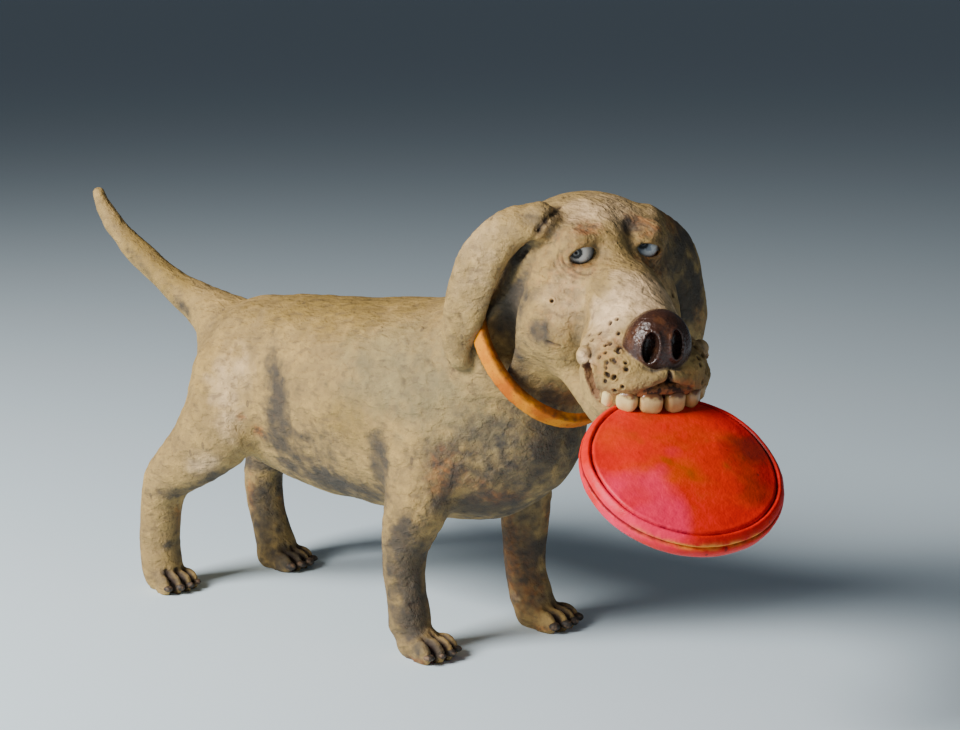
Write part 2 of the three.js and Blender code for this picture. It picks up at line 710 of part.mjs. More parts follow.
for (const side of ['left', 'right']) {
  const size = [2, 2, 2].map((v) => v * EYE.radius);
  const shape = (grow) => pebbleGeometry(size, 1, EYE_ROUNDS, grow);
  addSetIn(face, `eye_${side}`, MATERIALS.eye, shape, (mesh) => {
    mesh.position.set(...EYE[side]);
  });
}

TEETH.forEach((tooth, i) => {
  const turn = -tooth.bearing * degrees;
  const size = [TOOTH.thick, tooth.width, tooth.height];
  const shape = (grow) => pebbleGeometry(size, TOOTH.squareness, TOOTH.rounds, grow);
  addSetIn(face, `tooth_${i + 1}`, MATERIALS.tooth, shape, (mesh) => {
    const forward = ARCH.middle + ARCH.reach * Math.cos(turn);
    mesh.position.set(forward, ARCH.halfWidth * Math.sin(turn), ARCH.level);
    mesh.rotation.z = turn;
  });
});

// The dog's clay, cut flat at the soles and seated round each set-in piece
const body = bodyForm();
const head = headForm();
const toHead = new THREE.Matrix4();
face.updateWorldMatrix(true, false);
toHead.copy(face.matrixWorld).invert();
const h = toHead.elements;

function dogForm(x, y, z) {
  const forward = h[0] * x + h[4] * y + h[8] * z + h[12];
  const left = h[1] * x + h[5] * y + h[9] * z + h[13];
  const up = h[2] * x + h[6] * y + h[10] * z + h[14];
  return press(body(x, y, z), head(forward, left, up), FILLET.head);
}

function careAt([x, y, z]) {
  const toBrow = Math.hypot(x - BROW[0], y - BROW[1], z - BROW[2]);
  if (toBrow < FACE_CARE.reach) return FACE_CARE.weight;
  return z < PAW_CARE.height ? PAW_CARE.weight : 1;
}

const skin = thin(skinOf(dogForm, CLAY_LOW, CLAY_HIGH, CLAY_STEP), CLAY_FACETS, careAt);
const ground = new THREE.BoxGeometry(GROUND.length, GROUND.breadth, GROUND.depth)
  .translate(0, 0, -GROUND.depth / 2);
let clay = solidOf(geometryOf(skin)).subtract(solidOf(ground));
for (const seat of seats) clay = clay.subtract(seat);

const dog = new THREE.Mesh(geometryFrom(clay), MATERIALS.clay);
dog.name = 'dog';
figure.add(dog);

// The origin moves to the middle of the whole figure's box, on the surface that the paws stand on
const box = new THREE.Box3().setFromObject(figure, true);
figure.position.set(-(box.min.x + box.max.x) / 2, -(box.min.y + box.max.y) / 2, -box.min.z);

export default figure;
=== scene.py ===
"""A hand-built ceramic hound that grips a domed disc in its teeth.

Sizes are millimetres in the clay frame: +X to the chest, +Y to the dog's left, +Z up from the
soles, with the trunk's midline at y = 0. Sizes on the face are in the head frame: forward, left
and up from the point midway between the eyes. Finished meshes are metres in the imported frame.
"""
from __future__ import annotations

import logging
import math
from dataclasses import dataclass, field
from enum import Enum
from functools import reduce
from typing import Callable, Sequence

import bmesh
import bpy
import numpy as np
import openvdb
from mathutils import Matrix, Vector
from mathutils.bvhtree import BVHTree

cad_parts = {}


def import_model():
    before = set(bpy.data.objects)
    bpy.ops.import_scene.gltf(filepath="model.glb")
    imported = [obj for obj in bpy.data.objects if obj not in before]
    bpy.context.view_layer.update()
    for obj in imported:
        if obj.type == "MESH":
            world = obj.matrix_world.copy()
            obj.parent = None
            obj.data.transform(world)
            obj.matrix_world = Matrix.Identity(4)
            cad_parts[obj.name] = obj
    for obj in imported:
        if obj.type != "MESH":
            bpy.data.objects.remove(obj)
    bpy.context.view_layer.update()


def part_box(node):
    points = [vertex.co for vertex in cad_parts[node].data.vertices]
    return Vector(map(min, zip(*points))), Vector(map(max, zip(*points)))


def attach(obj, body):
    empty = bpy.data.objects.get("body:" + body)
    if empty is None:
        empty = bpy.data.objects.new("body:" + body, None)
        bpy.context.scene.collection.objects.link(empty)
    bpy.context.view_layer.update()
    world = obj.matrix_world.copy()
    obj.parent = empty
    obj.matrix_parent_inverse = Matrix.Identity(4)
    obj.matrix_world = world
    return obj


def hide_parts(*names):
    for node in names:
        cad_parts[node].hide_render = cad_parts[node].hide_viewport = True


log = logging.getLogger("hound")

Triple = tuple[float, float, float]
Pixel = tuple[float, float]
Field = Callable[[np.ndarray], np.ndarray]

MM = 0.001
PHOTO_SIZE = (960, 730)
FAR = 40.0  # past this from a form's ball, the distance to the ball is near enough
ACROSS = (0.0, 1.0, 0.0)


# Clay forms: each is a signed distance in millimetres, negative inside


def length(vectors: np.ndarray) -> np.ndarray:
    """Give the length of each vector."""
    return np.sqrt(np.einsum("ij,ij->i", vectors, vectors))


def within_ball(points: np.ndarray, centre: np.ndarray, reach: float, exact: Field) -> np.ndarray:
    """Work a form's exact distance only near the ball that it lies in.

    Args:
        points: Places to measure, n by 3.
        centre: Middle of the ball.
        reach: Radius of the ball.
        exact: The form's own distance.

    Returns:
        The distance at each point.
    """
    away = length(points - centre) - reach
    near = away < FAR
    if near.any():
        away[near] = exact(points[near])
    return away


def oval(local: np.ndarray, radii: np.ndarray) -> np.ndarray:
    """Measure to an ellipsoid at the origin.

    Args:
        local: Places in the ellipsoid's own axes, n by 3.
        radii: Its three radii, or three for each place.

    Returns:
        The distance at each place.
    """
    share = local / radii
    k0 = length(share)
    return k0 * (k0 - 1.0) / np.maximum(length(share / radii), 1e-9)


def press(a: np.ndarray, b: np.ndarray, fillet: float | np.ndarray) -> np.ndarray:
    """Press two forms together, smearing the joint over the fillet's width."""
    h = np.maximum(fillet - np.abs(a - b), 0.0) / fillet
    return np.minimum(a, b) - h * h * fillet / 4.0


def carve(a: np.ndarray, b: np.ndarray, fillet: float) -> np.ndarray:
    """Press form b out of form a."""
    return -press(-a, b, fillet)


def turned(turn: Triple) -> np.ndarray:
    """Give the axes of a form turned about x, then y, then z, in degrees, as columns."""
    x, y, z = (math.radians(v) for v in turn)
    return np.array(Matrix.Rotation(z, 3, "Z") @ Matrix.Rotation(y, 3, "Y") @ Matrix.Rotation(x, 3, "X"))


@dataclass(frozen=True)
class Blob:
    """An ellipsoid of clay."""

    at: Triple
    radii: Triple
    turn: Triple = (0.0, 0.0, 0.0)

    def distance(self, points: np.ndarray) -> np.ndarray:
        """Measure to the blob."""
        centre = np.array(self.at)
        axes = turned(self.turn)
        radii = np.array(self.radii)
        return within_ball(points, centre, max(self.radii), lambda p: oval((p - centre) @ axes, radii))


@dataclass(frozen=True)
class Station:
    """An oval section that a limb passes through."""

    at: Triple
    wide: float
    deep: float


def smooth_path(knots: np.ndarray, steps: int) -> np.ndarray:
    """Run a centripetal Catmull-Rom curve through the knots.

    Args:
        knots: Points that the curve passes through, n by 3.
        steps: Steps between one knot and the next.

    Returns:
        The points along the curve, both ends included.
    """
    ends = np.vstack([2 * knots[0] - knots[1], knots, 2 * knots[-1] - knots[-2]])
    out = []
    for p0, p1, p2, p3 in zip(ends, ends[1:], ends[2:], ends[3:]):
        pairs = ((p0, p1), (p1, p2), (p2, p3))
        d0, d1, d2 = (max(float(((b - a) ** 2).sum()) ** 0.25, 1e-4) for a, b in pairs)
        t1 = ((p1 - p0) / d0 - (p2 - p0) / (d0 + d1) + (p2 - p1) / d1) * d1
        t2 = ((p2 - p1) / d1 - (p3 - p1) / (d1 + d2) + (p3 - p2) / d2) * d1
        for i in range(steps):
            t = i / steps
            bend = (2 * p1 - 2 * p2 + t1 + t2) * t**3 + (3 * p2 - 3 * p1 - 2 * t1 - t2) * t**2
            out.append(bend + t1 * t + p1)
    return np.array([*out, knots[-1]])


@dataclass
class Limb:
    """A chain of oval sections along a smooth path."""

    stations: Sequence[Station]
    side: Triple = ACROSS
    steps: int = 3
    path: np.ndarray = field(init=False)
    girths: np.ndarray = field(init=False)

    def __post_init__(self) -> None:
        """Work the path and its girths from the stations."""
        self.path = smooth_path(np.array([s.at for s in self.stations], float), self.steps)
        self.girths = smooth_path(np.array([(s.wide, s.deep, 0.0) for s in self.stations], float), self.steps)

    def distance(self, points: np.ndarray) -> np.ndarray:
        """Measure to the limb."""
        centre = (self.path.min(0) + self.path.max(0)) / 2
        reach = float(np.linalg.norm(self.path - centre, axis=1).max() + self.girths.max())
        return within_ball(points, centre, reach, self._exact)

    def _exact(self, points: np.ndarray) -> np.ndarray:
        """Take the nearest of the limb's links."""
        nearest = np.full(len(points), np.inf)
        side = np.array(self.side)
        for start, end, girth, next_girth in zip(self.path, self.path[1:], self.girths, self.girths[1:]):
            run = end - start
            along = run / np.linalg.norm(run)
            across = side - along * along.dot(side)
            across /= np.linalg.norm(across)
            away = points - start
            t = np.clip(away @ run / run.dot(run), 0.0, 1.0)[:, None]
            local = (away - run * t) @ np.column_stack([across, np.cross(along, across), along])
            section = (girth + (next_girth - girth) * t)[:, :2]
            radii = np.column_stack([section, np.minimum(section[:, 0], section[:, 1])])
            nearest = np.minimum(nearest, oval(local, radii))
        return nearest


def chain(*rows: tuple[float, float, float, float, float]) -> tuple[Station, ...]:
    """Make stations from rows of x, y, z, wide and deep."""
    return tuple(Station((x, y, z), wide, deep) for x, y, z, wide, deep in rows)


def lattice_noise(points: np.ndarray, size: float, seed: int) -> np.ndarray:
    """Give smooth noise between -1 and 1, the same on every run.

    Args:
        points: Places in millimetres, n by 3.
        size: Distance between one bump and the next.
        seed: Which noise of many.

    Returns:
        The noise at each place.
    """
    scaled = points / size + seed * 17.31
    low = np.floor(scaled)
    part = scaled - low
    ease = part * part * (3 - 2 * part)
    total = np.zeros(len(points))
    for corner in np.ndindex(2, 2, 2):
        cell = low + corner
        wave = np.sin(cell @ np.array([127.1, 311.7, 74.7]) + seed * 3.7) * 43758.5453
        weight = np.where(corner, ease, 1 - ease).prod(1)
        total += weight * (2 * (wave - np.floor(wave)) - 1)
    return total


# Where things are: the head's own frame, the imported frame, and the view of the photograph


@dataclass(frozen=True)
class HeadFrame:
    """The head, turned to the dog's right and dipped, about the point between its eyes."""

    brow: Triple = (206.0, -26.0, 261.7)
    turn: float = 34.0
    dip: float = 12.0

    @property
    def axes(self) -> np.ndarray:
        """The head's forward, left and up, as columns."""
        return turned((0.0, self.dip, -self.turn))

    def inward(self, points: np.ndarray) -> np.ndarray:
        """Take places from the clay frame to the head frame."""
        return (points - np.array(self.brow)) @ self.axes

    def outward(self, points: np.ndarray) -> np.ndarray:
        """Take places from the head frame to the clay frame."""
        return np.asarray(points, float) @ self.axes.T + np.array(self.brow)


@dataclass(frozen=True)
class PhotoView:
    """The camera that took the photograph, in the clay frame."""

    azimuth: float = 38.0
    pitch: float = 10.5
    target: Triple = (0.0, 115.4, 150.0)
    distance: float = 1390.0
    lens: float = 75.0
    sensor: float = 36.0

    @property
    def axes(self) -> np.ndarray:
        """Right, up and back from the picture, as columns."""
        a, p = math.radians(self.azimuth), math.radians(self.pitch)
        back = np.array([math.sin(a) * math.cos(p), -math.cos(a) * math.cos(p), math.sin(p)])
        right = np.array([math.cos(a), math.sin(a), 0.0])
        return np.column_stack([right, np.cross(back, right), back])

    @property
    def eye(self) -> np.ndarray:
        """Where the camera stands."""
        return np.array(self.target) + self.axes[:, 2] * self.distance

    def ray(self, pixel: Pixel) -> np.ndarray:
        """Point from the camera through a pixel of the photograph."""
        focal = self.lens / self.sensor * PHOTO_SIZE[0]
        across = (pixel[0] - PHOTO_SIZE[0] / 2) / focal
        upward = (PHOTO_SIZE[1] / 2 - pixel[1]) / focal
        ray = self.axes @ np.array([across, upward, -1.0])
        return ray / np.linalg.norm(ray)


HEAD = HeadFrame()
VIEW = PhotoView()


@dataclass(frozen=True)
class PackedFrame:
    """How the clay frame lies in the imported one, found from the right eye's own box."""

    shift: Triple

    @classmethod
    def found(cls, eye_at: Triple) -> PackedFrame:
        """Find the shift.

        Args:
            eye_at: Middle of the right eye in the head frame.

        Returns:
            The frame.
        """
        low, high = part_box("eye_right")
        middle = (np.array(low) + np.array(high)) / 2 / MM
        shift = middle - HEAD.outward(np.array([eye_at]))[0]
        return cls((float(shift[0]), float(shift[1]), 0.0))

    def place(self, points: np.ndarray) -> np.ndarray:
        """Take places from clay millimetres to packed metres."""
        return (np.asarray(points, float) + np.array(self.shift)) * MM


# Mesh helpers


def mesh_object(name: str, points: np.ndarray, faces: Sequence[Sequence[int]]) -> bpy.types.Object:
    """Make a smooth-shaded object at the origin.

    Args:
        name: The piece's name.
        points: Vertices in packed metres.
        faces: Vertex numbers of each face, facing outwards.

    Returns:
        The object, linked to the scene.
    """
    mesh = bpy.data.meshes.new(name)
    mesh.from_pydata(points.tolist(), [], [list(map(int, f)) for f in faces])
    mesh.update()
    mesh.shade_smooth()
    made = bpy.data.objects.new(name, mesh)
    bpy.context.scene.collection.objects.link(made)
    return made


def paint(made: bpy.types.Object, name: str, values: np.ndarray) -> None:
    """Store a mask on the vertices of an object."""
    attribute = made.data.attributes.new(name, "FLOAT", "POINT")
    attribute.data.foreach_set("value", np.clip(values, 0.0, 1.0).astype(np.float32))


def baked(made: bpy.types.Object) -> bpy.types.Object:
    """Turn an object's Geometry Nodes result into a plain mesh and drop the modifier."""
    evaluated = made.evaluated_get(bpy.context.evaluated_depsgraph_get())
    mesh = bpy.data.meshes.new_from_object(evaluated)
    mesh.name = made.name
    made.modifiers.clear()
    made.data = mesh
    mesh.shade_smooth()
    return made


def lathe(profile: np.ndarray, sides: int) -> tuple[np.ndarray, list[tuple[int, ...]]]:
    """Turn a profile about +Z, with its first and last points on the axis.

    Args:
        profile: Radius and height of each point, from the underside to the top.
        sides: Points round the axis.

    Returns:
        The vertices and the faces, facing outwards.
    """
    angles = np.arange(sides) / sides * 2 * math.pi
    rings = [
        np.column_stack([r * np.cos(angles), r * np.sin(angles), np.full(sides, z)]) for r, z in profile[1:-1]
    ]
    points = np.vstack([[(0.0, 0.0, profile[0][1])], *rings, [(0.0, 0.0, profile[-1][1])]])
    top = len(points) - 1
    first = 1
    last = 1 + (len(rings) - 1) * sides
    faces: list[tuple[int, ...]] = []
    for i in range(sides):
        j = (i + 1) % sides
        faces.append((0, first + j, first + i))
        faces.append((top, last + i, last + j))
        for ring in range(len(rings) - 1):
            a = 1 + ring * sides
            faces.append((a + i, a + j, a + sides + j, a + sides + i))
    return points, faces


# The hound's clay


@dataclass(frozen=True)
class Paw:
    """A pad with toes fanned across its front."""

    at: Pixel
    heading: float
    length: float
    width: float
    height: float
    toes: int = 4
    fan: float = 30.0

    def place(self, ahead: float, left: float, up: float) -> Triple:
        """Take a place on the paw, along, across and up, to the clay frame."""
        c, s = math.cos(math.radians(self.heading)), math.sin(math.radians(self.heading))
        return (self.at[0] + ahead * c - left * s, self.at[1] + ahead * s + left * c, up)

    def toe_lines(self) -> list[tuple[float, float, float]]:
        """Give each toe's share across the paw, its place ahead and its turn."""
        shares = [(i + 0.5) / self.toes - 0.5 for i in range(self.toes)]
        return [(s, self.length * (0.25 - 0.6 * s * s), self.heading + s * self.fan) for s in shares]

    def forms(self) -> tuple[Blob, list[Blob]]:
        """Make the pad and the toes."""
        pad = Blob(
            self.place(-0.1 * self.length, 0.0, 0.4 * self.height),
            (0.38 * self.length, 0.46 * self.width, 0.62 * self.height),
            (0.0, 0.0, self.heading),
        )
        toes = [
            Blob(
                self.place(ahead, 0.92 * share * self.width, 0.3 * self.height),
                (0.25 * self.length, 0.56 * self.width / self.toes, 0.48 * self.height),
                (0.0, 0.0, turn),
            )
            for share, ahead, turn in self.toe_lines()
        ]
        return pad, toes

    def nails(self) -> list[tuple[Triple, float, float]]:
        """Give each nail's place, turn in degrees and size."""
        tip = 0.22 * self.length
        spots = []
        for share, ahead, turn in self.toe_lines():
            aside = 0.92 * share * self.width + tip * math.sin(math.radians(turn - self.heading))
            spots.append((self.place(ahead + tip, aside, 0.3 * self.height), turn, 0.075 * self.length))
        return spots

    def grooves(self, points: np.ndarray) -> np.ndarray:
        """Mark the dark grooves between the toes, 1 at their middle."""
        c, s = math.cos(math.radians(self.heading)), math.sin(math.radians(self.heading))
        away = points[:, :2] - np.array(self.at)
        ahead = (away @ np.array([c, s])) / self.length
        left = (away @ np.array([-s, c])) / self.width
        fanned = left - 0.35 * left * np.clip(ahead, 0.0, 1.0)
        groove = np.zeros(len(points))
        for i in range(1, self.toes):
            groove += np.exp(-(((fanned - 0.92 * (i / self.toes - 0.5)) * self.width / 1.5) ** 2))
        lengthwise = np.clip((ahead - 0.08) * 8, 0, 1) * np.clip((0.75 - ahead) * 4, 0, 1)
        beside = np.abs(left) < 0.6
        return groove * lengthwise * beside * (points[:, 2] < self.height * 0.95) * (points[:, 2] > 0.3)


@dataclass(frozen=True)
class Leg:
    """A leg's stations from the trunk to the ankle, and its paw."""

    stations: tuple[Station, ...]
    paw: Paw


LEGS = {
    "right_fore": Leg(
        chain(
            (84, -34, 140, 22, 33), (80, -42, 112, 18, 26), (75, -46, 90, 17, 20),
            (68, -47, 66, 14, 14), (68, -47, 42, 12.5, 12.7), (71, -47, 20, 13, 13.5),
        ),
        Paw((84, -48), -4, 39, 30, 18),
    ),
    "left_fore": Leg(
        chain(
            (88, 34, 140, 22, 33), (89, 42, 112, 18, 26), (90, 46, 86, 17, 19),
            (90, 47, 60, 14.5, 15), (91, 47, 36, 13, 13.7), (96, 47, 19, 13.5, 14.5),
        ),
        Paw((106, 48), 2, 42, 32, 18),
    ),
    "right_hind": Leg(
        chain(
            (-94, -28, 150, 26, 36), (-97, -40, 124, 20, 31), (-117, -44, 101, 17, 23), (-142, -45, 82, 15, 17),
            (-152, -45, 60, 13.5, 14), (-155, -45, 34, 13, 14), (-154, -45, 16, 13.5, 14.5),
        ),
        Paw((-147, -45), -6, 38, 30, 17),
    ),
    "left_hind": Leg(
        chain(
            (-94, 28, 150, 26, 36), (-102, 40, 122, 20, 30), (-121, 44, 97, 17, 21), (-140, 45, 74, 14, 16),
            (-142, 45, 52, 13.5, 14), (-137, 45, 30, 13, 13.5), (-131, 45, 15, 13.5, 14.5),
        ),
        Paw((-123, 44), 4, 42, 31, 17),
    ),
}


@dataclass
class BodyForm:
    """The clay of the hound, all but its head."""

    trunk: Limb = field(default_factory=lambda: Limb([
        Station((x, 0.0, (back + belly) / 2), half, (back - belly) / 2)
        for x, back, belly, half in (
            (-113, 199, 122, 33), (-92, 206, 98, 44), (-62, 208, 85, 47), (-25, 210, 79, 51),
            (20, 213, 77, 56), (65, 217, 77, 57), (98, 212, 82, 52), (120, 196, 96, 42),
        )
    ]))
    neck: Limb = field(default_factory=lambda: Limb(chain(
        (92, 0, 165, 48, 50), (121, -1, 190, 47, 50), (150, -5, 213, 46, 46), (170, -8, 233, 43, 40),
    )))
    tail: Limb = field(default_factory=lambda: Limb(chain(
        (-132, 0, 182, 21, 20), (-155, 0, 193, 14, 14), (-175, 0, 201, 11, 11), (-200, 0, 213.5, 9.2, 9.2),
        (-225, 0, 229, 8.6, 8.6), (-243, 0, 244, 7.4, 7.4), (-254, 0, 257, 5.4, 5.4), (-257, 0, 263, 4.6, 4.6),
    )))

    def __post_init__(self) -> None:
        """Make each leg's shaft, pad and toes."""
        self.legs = [(Limb(leg.stations), *leg.paw.forms()) for leg in LEGS.values()]

    def distance(self, points: np.ndarray) -> np.ndarray:
        """Measure to the body."""
        clay = press(self.trunk.distance(points), self.neck.distance(points), 14)
        clay = press(clay, self.tail.distance(points), 10)
        for shaft, pad, toes in self.legs:
            foot = reduce(lambda a, toe: press(a, toe.distance(points), 1.6), toes, pad.distance(points))
            clay = press(clay, press(shaft.distance(points), foot, 5), 9)
        return clay


@dataclass(frozen=True)
class EyeSeat:
    """One eye: where its ball sits, and the almond that its lids leave open."""

    at: Triple
    looks: Pixel
    opening: Triple = (11.0, 9.2, 6.2)
    tilt: float = 14.0
    radius: float = 9.5
    lid: float = 2.6
    ahead: float = 11.0

    @property
    def lids(self) -> Blob:
        """The lids' clay, before the almond is cut."""
        shell = self.radius + self.lid
        return Blob(self.at, (shell, shell + 1.0, shell))

    @property
    def almond(self) -> Blob:
        """The opening between the lids."""
        x, y, z = self.at
        return Blob((x + self.ahead, y, z), self.opening, (-math.copysign(self.tilt, y), 0.0, 0.0))

    @property
    def gaze(self) -> Triple:
        """Which way the eye looks, from where the photograph shows its dot."""
        ray = VIEW.ray(self.looks) @ HEAD.axes
        start = HEAD.inward(VIEW.eye[None])[0] - np.array(self.at)
        middle = -float(start @ ray)
        short = float(start @ start) - middle**2 - self.radius**2
        hit = start + ray * (middle - math.sqrt(max(-short, 0.0)))
        return tuple(hit / np.linalg.norm(hit))


EYES = {
    "left": EyeSeat((-3.0, 19.5, 0.5), (643.0, 243.0), (11.0, 8.6, 5.0)),
    "right": EyeSeat((-3.0, -20.0, -1.0), (576.0, 253.0)),
}


@dataclass
class HeadForm:
    """The head's clay in the head frame. Paired forms are worked once, where left is positive."""

    skull: Blob = Blob((-34, 0, -19), (48, 49, 40))
    cheek: Blob = Blob((-14, 20, -46), (37, 29, 30))
    flew: Blob = Blob((56, 13, -43), (34, 20, 15))
    lip_fold: Blob = Blob((57, 22, -59), (25, 11, 17))
    brow_ridge: Blob = Blob((-3, 17, 8), (11, 13, 6), (0, 0, 12))
    brow_hollow: Blob = Blob((5, -17.5, 18), (9, 8, 5.5), (0, -30, 0))
    far_hollow: Blob = Blob((8, 14, 17), (17, 9.5, 9), (0, -38, 0))
    lip_corner: Blob = Blob((57, 34.5, -41), (5.5, 4.5, 5.5))
    corner_slot: Blob = Blob((68.5, 34, -51.5), (11, 6, 4.6), (0, 53, 0))
    nose: Blob = Blob((74, 0, -31), (16.5, 19, 21))
    nostrils: tuple[Blob, ...] = (
        Blob((88, -9.5, -26), (8, 3.9, 8.5), (-8, 0, 0)),
        Blob((90, 5, -24), (8, 3.4, 8)),
    )
    philtrum: Blob = Blob((94, 0.5, -42), (5, 1.4, 4.5))
    mouth_arch: Blob = Blob((91, 0.5, -58), (13, 20, 12.5))
    bridge: Limb = field(default_factory=lambda: Limb(chain(
        (-8, 0, -20, 24, 23), (30, 0, -26, 23.5, 24.5), (54, 0, -30, 22, 18.5),
    )))
    lip: Limb = field(default_factory=lambda: Limb(chain(
        (56, 29, -48, 5, 5), (76, 27, -50, 4.6, 4.6), (87, 15.5, -47.5, 4, 4), (91, 6, -42, 3.4, 3.4),
        (91.5, 0, -40, 3, 3),
    ), (0.0, 0.0, 1.0)))
    gum: Limb = field(default_factory=lambda: Limb(chain(
        (64, 25, -53, 4, 5), (78, 21.5, -53, 4, 5.5), (85, 11, -51, 4, 6), (86.5, 0, -49.5, 4, 6.5),
    ), (0.0, 0.0, 1.0)))
    jaw: Limb = field(default_factory=lambda: Limb(chain(
        (-18, 0, -60, 34, 20), (16, 0, -74, 27, 13), (44, 0, -84, 22, 11), (68, 0, -86, 18, 9),
        (84, 0, -84, 13, 8),
    )))
    middle_ridge: Limb = field(default_factory=lambda: Limb(chain(
        (-24, -3, 16, 7, 3.5), (-8, -3.5, 13.5, 7, 4.5), (6, -3.5, 5.5, 6.5, 4.5), (17, -2, -3.5, 5.5, 3.5),
    )))
    far_brow: Limb = field(default_factory=lambda: Limb(chain(
        (-9, 25.5, 10, 3, 3), (-3, 28, 8.5, 3.4, 3.4), (-4, 33, 3, 3, 3),
    )))
    ear_gap: Limb = field(default_factory=lambda: Limb(chain(
        (-13, -39.5, -1, 1.2, 1.2), (-13, -44.5, -13, 2.2, 2.2), (-17, -49.5, -26, 4, 4),
        (-21, -53, -42, 7, 7), (-27, -53, -60, 12, 12), (-33, -51, -76, 11, 11),
    )))
    right_ear: Limb = field(default_factory=lambda: Limb(chain(
        (-21, 37, 11, 12, 8), (-28, 53, 4, 12.5, 7.5), (-33, 66, -15, 14.5, 7), (-37.5, 71, -36, 14, 6.5),
        (-41, 73, -55, 12.5, 6.5), (-46, 74, -73, 9.5, 6.5), (-45, 71.5, -83, 7.5, 5.5),
    ), (0.72, -0.69, 0.0)))
    left_ear: Limb = field(default_factory=lambda: Limb(chain(
        (-20, 31, 3, 16, 7.5), (-25, 44, -7, 19, 7), (-30, 57, -20, 20, 7), (-28, 63.5, -38, 18.5, 6.5),
        (-26, 67.5, -55, 15, 6.5), (-25.5, 67, -70, 11.5, 6.5), (-26, 66, -79, 7.5, 5.5),
    ), (0.72, -0.69, 0.0)))

    def face(self, places: np.ndarray) -> np.ndarray:
        """Measure to the head as it is before its nose goes on.

        Args:
            places: Places in the head frame, n by 3.

        Returns:
            The distance at each place.
        """
        side = places * np.where(places[:, 1:2] < 0, (1.0, -1.0, 1.0), 1.0)
        clay = press(self.skull.distance(side), self.cheek.distance(side), 12)
        clay = press(clay, self.bridge.distance(side), 10)
        clay = press(clay, self.jaw.distance(side), 10)
        clay = press(clay, self.flew.distance(side), 8)
        clay = press(clay, self.lip_fold.distance(side), 6)
        clay = press(clay, self.lip.distance(side), 4)
        clay = press(clay, self.brow_ridge.distance(side), 7)
        clay = carve(clay, self.brow_hollow.distance(places), 5)
        clay = carve(clay, self.far_hollow.distance(places), 5)
        for ridge in (self.middle_ridge, self.far_brow):
            clay = press(clay, ridge.distance(places), 5)
        clay = press(clay, self.lip_corner.distance(side), 0.8)
        slot = self.corner_slot.distance(side)
        clay = press(clay, np.hypot(slot, clay) - 1.8, 1.0)
        clay = carve(clay, slot, 0.8)
        for eye in EYES.values():
            lids = eye.lids.distance(places)
            almond = eye.almond.distance(places)
            clay = carve(press(clay, lids, 4), almond, 1.0)
            clay = press(clay, np.hypot(lids, almond - 0.4) - 1.4, 1.0)
        clay = carve(clay, self.mouth_arch.distance(places), 2.0)
        return press(clay, self.gum.distance(side), 1.5)

    def distance(self, places: np.ndarray) -> np.ndarray:
        """Measure to the head, its ears left off."""
        nose = self.nose.distance(places)
        clay = press(self.face(places), nose, 1.0)
        for nostril in self.nostrils:
            hole = nostril.distance(places)
            clay = press(clay, np.hypot(hole, nose) - 1.3, 2.0)
            clay = carve(clay, hole, 1.2)
        return carve(clay, self.philtrum.distance(places), 2.0)

    def ears(self, places: np.ndarray) -> np.ndarray:
        """Measure to the two ears, which hang clear of the cheeks."""
        side = places * np.where(places[:, 1:2] < 0, (1.0, -1.0, 1.0), 1.0)
        return np.where(places[:, 1] > 0, self.left_ear.distance(side), self.right_ear.distance(side))

    def gaps(self, places: np.ndarray) -> np.ndarray:
        """Measure to the dark hollow behind the near ear's front edge."""
        return self.ear_gap.distance(places)


class Wash(Enum):
    """A colour brushed or smoked onto the clay, or painted shade, named as its mask is."""

    SMOKE = "smoke_and_shade"
    OCHRE = "ochre"
    RUST = "rust"
    PALE = "pale"
    COOL = "cool"


@dataclass(frozen=True)
class Stain:
    """A soft patch of a wash, placed where the photograph shows it.

    The pixel is its middle in the photograph. Its half sizes are millimetres across and up the
    picture, turned by tilt degrees, and it goes as deep into the view as the larger of them.
    """

    wash: Wash
    pixel: Pixel
    half: Pixel
    strength: float
    tilt: float = 0.0
    mirrored: bool = True
